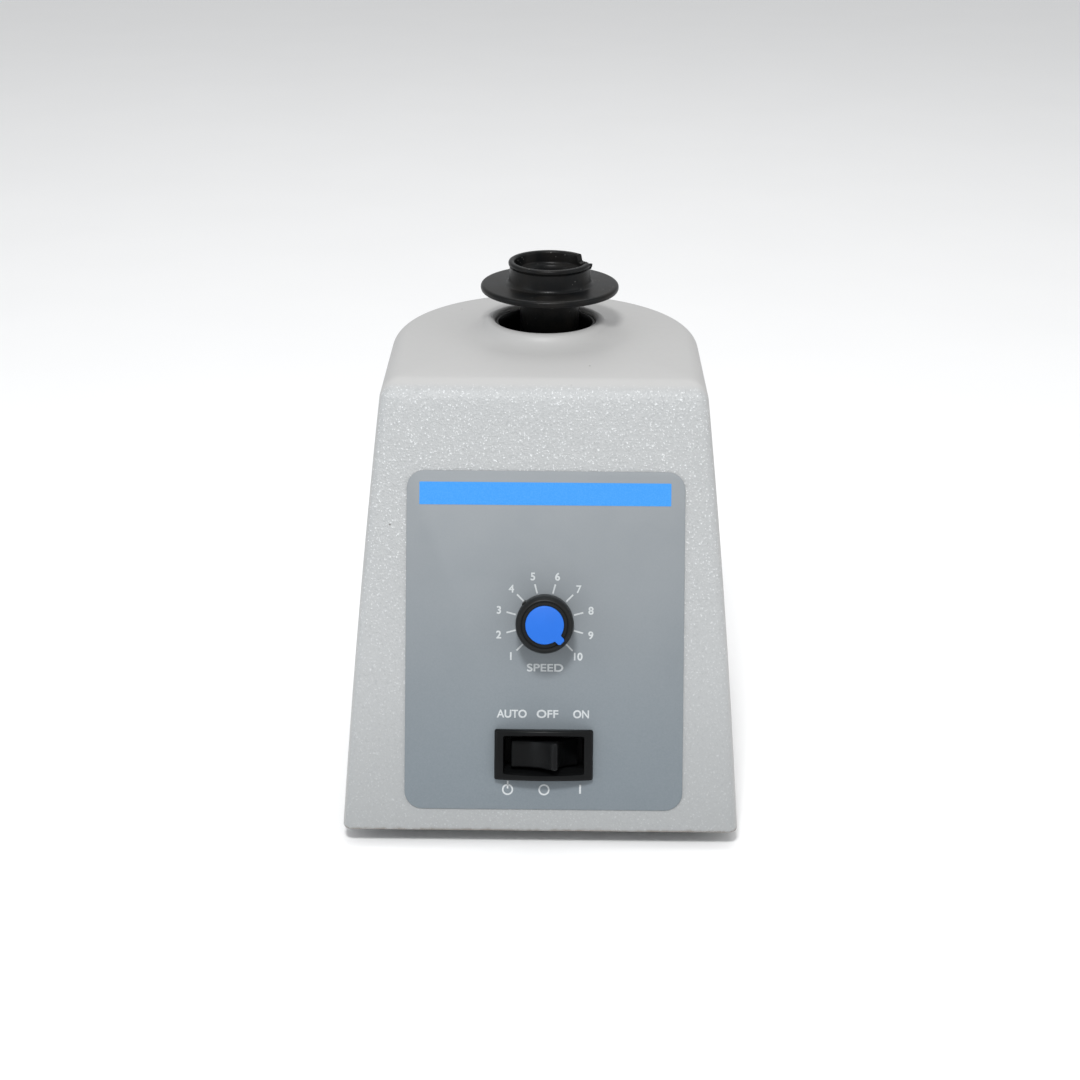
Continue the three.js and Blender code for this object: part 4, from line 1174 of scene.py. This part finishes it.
def cup_profile():
    """The cup's section as (radius, height), with its rim at height 0."""
    flange_top, flange_low = -FLANGE_DROP, -FLANGE_DROP - 2.4
    foot_z = cup_low.z - cup_high.z
    outer, flat = FLANGE_RADIUS, FLANGE_RADIUS - 1.2
    middle = flange_top - 1.2
    edge_top = bend((flat, flange_top - 0.1), (outer, flange_top - 0.1), (outer, middle), 5)
    edge_low = bend((outer, middle), (outer, flange_low), (flat, flange_low), 5)
    root = bend((15.2, flange_top), (14.0, flange_top), (13.7, flange_top + 1.3), 5)
    bead = bend((13.4, -2.1), (13.4, -1.8), (13.8, -1.3), 3)
    lip = [*bead, *bend((13.85, -0.9), (13.85, 0), (13.0, 0), 4)]
    inner = bend((12.7, 0), (11.9, 0), (11.8, -0.8), 4)
    ledge = bend((11.7, -3.4), (11.6, -4.2), (10.8, -4.5), 4)
    bowl = bend((10.6, -4.7), (9.2, -14.6), (0, -15.4), 14)
    return [
        (0, foot_z + 15.2), (6.2, foot_z + 15.2), (7, foot_z + 14.2),
        (7, foot_z), (9.5, foot_z), (9.9, foot_z + 0.4),
        *bend((9.9, flange_low - 1.6), (9.9, flange_low), (11.6, flange_low), 5),
        *edge_low[::-1], *edge_top[::-1][1:], *root, *lip, *inner, *ledge, *bowl,
    ]


def tear_depth(angle):
    """How far down the lip is torn at an angle in degrees, 0 where it is whole."""
    if not -12 <= angle <= 40:
        return 0.0
    ragged = 0.25 * math.sin(angle * 1.9) + 0.18 * math.sin(angle * 4.7 + 1)
    near = min(angle + 12, 40 - angle)
    return (2.5 + ragged) * min(1, near / 1.2)


def cup():
    bm = turned(cup_profile(), 180)
    for vertex in bm.verts:
        radius = math.hypot(vertex.co.x, vertex.co.y)
        if radius < 11 or vertex.co.z < -5:
            continue
        angle = math.degrees(math.atan2(vertex.co.y, vertex.co.x))
        depth = tear_depth(angle)
        vertex.co.z = min(vertex.co.z, -depth + 0.15 * (radius - 12.8) * (depth > 0))
        if -17 < angle < -12 and vertex.co.z > -2.5:
            lean = (angle + 17) / 5 * (1 + vertex.co.z / 2.5)
            vertex.co.x += 0.9 * lean
            vertex.co.z -= 0.25 * lean
    return bm


finish_piece(
    "mixing_cup_moulded", cup(), CUP_RUBBER, "head", ["mixing_cup"], CUP_PLACE,
    40,
)

# %% [markdown]
# ## The edge ring in the opening
#
# A black ring lines the bore of the collar and covers the cast edge. Its lower end reaches past
# the wall, so that looking in shows only black.

# %% Edge ring
liner_low, liner_high = box_mm("collar_liner")


def edge_ring():
    outer = COLLAR_BORE - 0.05
    tall = liner_high.z - liner_low.z
    lip = bend((outer, tall), (outer - 0.1, tall + 0.6), (outer - 0.9, tall + 0.3), 5)
    return turned([(outer, 0), *lip, (outer - 1.5, tall - 1.2), (outer - 1.5, 0)], 96)


finish_piece(
    "edge_ring", edge_ring(), CUP_RUBBER, "frame", ["collar_liner"],
    at(0, AXIS_Y, liner_low.z),
)

# %% [markdown]
# ## Feet and their screws
#
# Each foot is a turned rubber button with a recess, and a pan head screw with a cross slot goes
# up through it. The slot is carved with two small bricks.

# %% Feet


def foot():
    recess = [(2.3, 4.9), (4.4, 4.9), (4.4, 0.3), (4.7, 0)]
    edge = bend((6.4, 0), (7.2, 0), (7.3, 0.9), 4)
    return turned([*recess, *edge, (7.5, 6.7), (2.3, 6.7)], 48)


def pan_head_screw(top):
    head = bend((0, 1.9), (3.0, 1.95), (3.8, 3.6), 8)
    threads = []
    turns = int((top - 8) / 0.8)
    for i in range(turns):
        z = 8 + 0.8 * i
        threads += [(1.75, z), (2.0, z + 0.4)]
    shoulder = [(3.8, 4.4), (3.6, 4.6), (2, 4.6)]
    tip = [(1.75, top - 0.4), (1.3, top), (0, top)]
    bm = turned([*head, *shoulder, *threads, *tip], 24)
    return carve(bm, brick(-2.3, 2.3, -0.45, 0.45, 1, 3.3), brick(-0.45, 0.45, -2.3, 2.3, 1, 3.3))


for i in range(1, 5):
    centre = centre_mm(f"foot_{i}")
    spot = at(centre.x, centre.y, box_mm(f"foot_{i}")[0].z)
    finish_piece(
        f"foot_turned_{i}", foot(), FOOT_RUBBER, "frame", [f"foot_{i}"], spot
    )
    screw_high = box_mm(f"foot_screw_{i}")[1].z
    finish_piece(
        f"foot_screw_threaded_{i}", pan_head_screw(screw_high), ZINC_PLATE, "frame",
        [f"foot_screw_{i}"], spot,
    )

# %% [markdown]
# ## The mains inlet
#
# The standard inlet for a detachable lead: a flange with rounded corners, a socket with two
# corners cut off and three flat pins in it, and a drawer below for the fuse. The body is carved
# from softened bricks, and the drawer has a lip for a fingernail.

# %% Mains inlet
BACK = (
    at(0, PAD_Y, INLET_Z)
    @ Matrix.Rotation(math.pi, 4, "Z")
    @ turn(90, "X")
)  # x to the left seen from behind is -x, y up, z out of the back
SOCKET_UP = 6.0
DRAWER_UP = -12.5


def socket_outline():
    x, y, cut = 12.3, 8.3, 5.0
    return [(-x, -y), (x, -y), (x, y - cut), (x - cut, y), (cut - x, y), (-x, y - cut)]


def inlet_body():
    flange = soften(slab(rounded_box(16, 19.5, 2.4), 0.05, 2.3), 0.5, 3, 60)
    body = soften(brick(-13.6, 13.6, -17.2, 17.2, -16.5, 1), 0.4)
    socket = moved(slab(socket_outline(), -14.6, 4), at(0, SOCKET_UP, 0))
    drawer_room = brick(-12.3, 12.3, DRAWER_UP - 4.3, DRAWER_UP + 4.3, -16, 4)
    return carve(weld(flange, body), soften(socket, 0.5, 3), drawer_room)


def fuse_drawer():
    front = soften(brick(-12, 12, DRAWER_UP - 4, DRAWER_UP + 4, 0.6, 2.9), 0.5)
    tray = soften(brick(-12, 12, DRAWER_UP - 4, DRAWER_UP + 4, -15.6, 1.2), 0.3)
    grip = soften(brick(-6, 6, DRAWER_UP + 1.2, DRAWER_UP + 2.8, 2.5, 4.4), 0.4)
    bed = soften(brick(-10.6, 10.6, DRAWER_UP - 3.1, DRAWER_UP + 5, -9.6, -2), 0.4)
    return carve(weld(front, tray, grip), bed)


def inlet_pin(node):
    low, high = box_mm(node)
    pin_mesh = brick(low.x, high.x, low.y, high.y - 0.4, low.z, high.z)
    return soften(pin_mesh, 0.55, 3)


finish_piece(
    "inlet_body_moulded", inlet_body(), BLACK_PLASTIC, "frame", ["inlet_body"],
    BACK,
)
finish_piece(
    "fuse_drawer_moulded", fuse_drawer(), BLACK_PLASTIC, "drawer", ["fuse_drawer"],
    BACK,
)
for name in ("inlet_pin_live", "inlet_pin_earth", "inlet_pin_neutral"):
    finish_piece(f"{name}_plated", inlet_pin(name), ZINC_PLATE, "frame", [name])

# %% [markdown]
# ## Springs
#
# In the mixer each press spring is squashed as the motor goes down; here it is drawn fixed to
# the frame. A swept tube along a helix is easiest as a curve object with a round bevel. The
# helix is worked out by a loop, and the lowest point sits on the head of its guide screw.


def press_spring(i):
    low, high = box_mm(f"press_spring_{i}")
    centre = centre_mm(f"press_spring_{i}")
    wire, radius, turns, steps = 0.45, 3.95, 4.5, 24
    curve = bpy.data.curves.new("wire", "CURVE")
    curve.dimensions = "3D"
    curve.bevel_depth = wire * TO_METRES
    curve.bevel_resolution = 3
    curve.use_fill_caps = True
    line = curve.splines.new("POLY")
    count = int(turns * steps)
    line.points.add(count)
    for k in range(count + 1):
        t = k / count
        angle = math.tau * turns * t
        eased = t - 0.06 * math.sin(math.tau * t)
        z = low.z + wire + (high.z - low.z - 2 * wire) * eased
        spot = Vector((centre.x + radius * math.cos(angle), centre.y + radius * math.sin(angle), z))
        line.points[k].co = (*(spot * TO_METRES), 1)
    bm = mesh_of(bpy.data.objects.new("wire", curve))
    bmesh.ops.scale(bm, verts=bm.verts, vec=(1000,) * 3)
    node = f"press_spring_{i}"
    piece = finish_piece(f"wound_spring_{i}", bm, SPRING_STEEL, "frame", [node])
    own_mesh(piece)


for i in range(1, 4):
    press_spring(i)
print("three springs")

# %% [markdown]
# ## Finishes for the pieces inside
#
# The pieces inside the housing keep the shapes of the mechanical model. Each gets its finish by
# the name of its material slot in the record, so a piece can't be forgotten.

# %% Inside pieces
BY_SLOT = {
    "zinc_plated_steel": ZINC_PLATE,
    "ground_steel": GROUND_STEEL,
    "spring_steel": SPRING_STEEL,
    "lamination_steel": LAMINATIONS,
    "copper_winding": WINDING,
    "cast_aluminium": CAST_ALUMINIUM,
    "brass": TURNED_BRASS,
    "black_plastic": BLACK_PLASTIC,
    "blue_plastic": BLUE_PLASTIC,
    "black_rubber": CUP_RUBBER,
    "circuit_board": CIRCUIT_BOARD,
    "amber_plastic": AMBER_PLASTIC,
    "brown_wire": BROWN_INSULATION,
    "green_wire": GREEN_INSULATION,
    "fuse_glass": FUSE_TUBE,
    "painted_casting": POWDER_COAT,
    "label_film": LABEL_FILM,
}
for part in frame["record"]["subparts"]:
    mesh = frame["nodes"][part["node"]].data
    mesh.materials.clear()
    mesh.materials.append(BY_SLOT[part["material_slot"]])
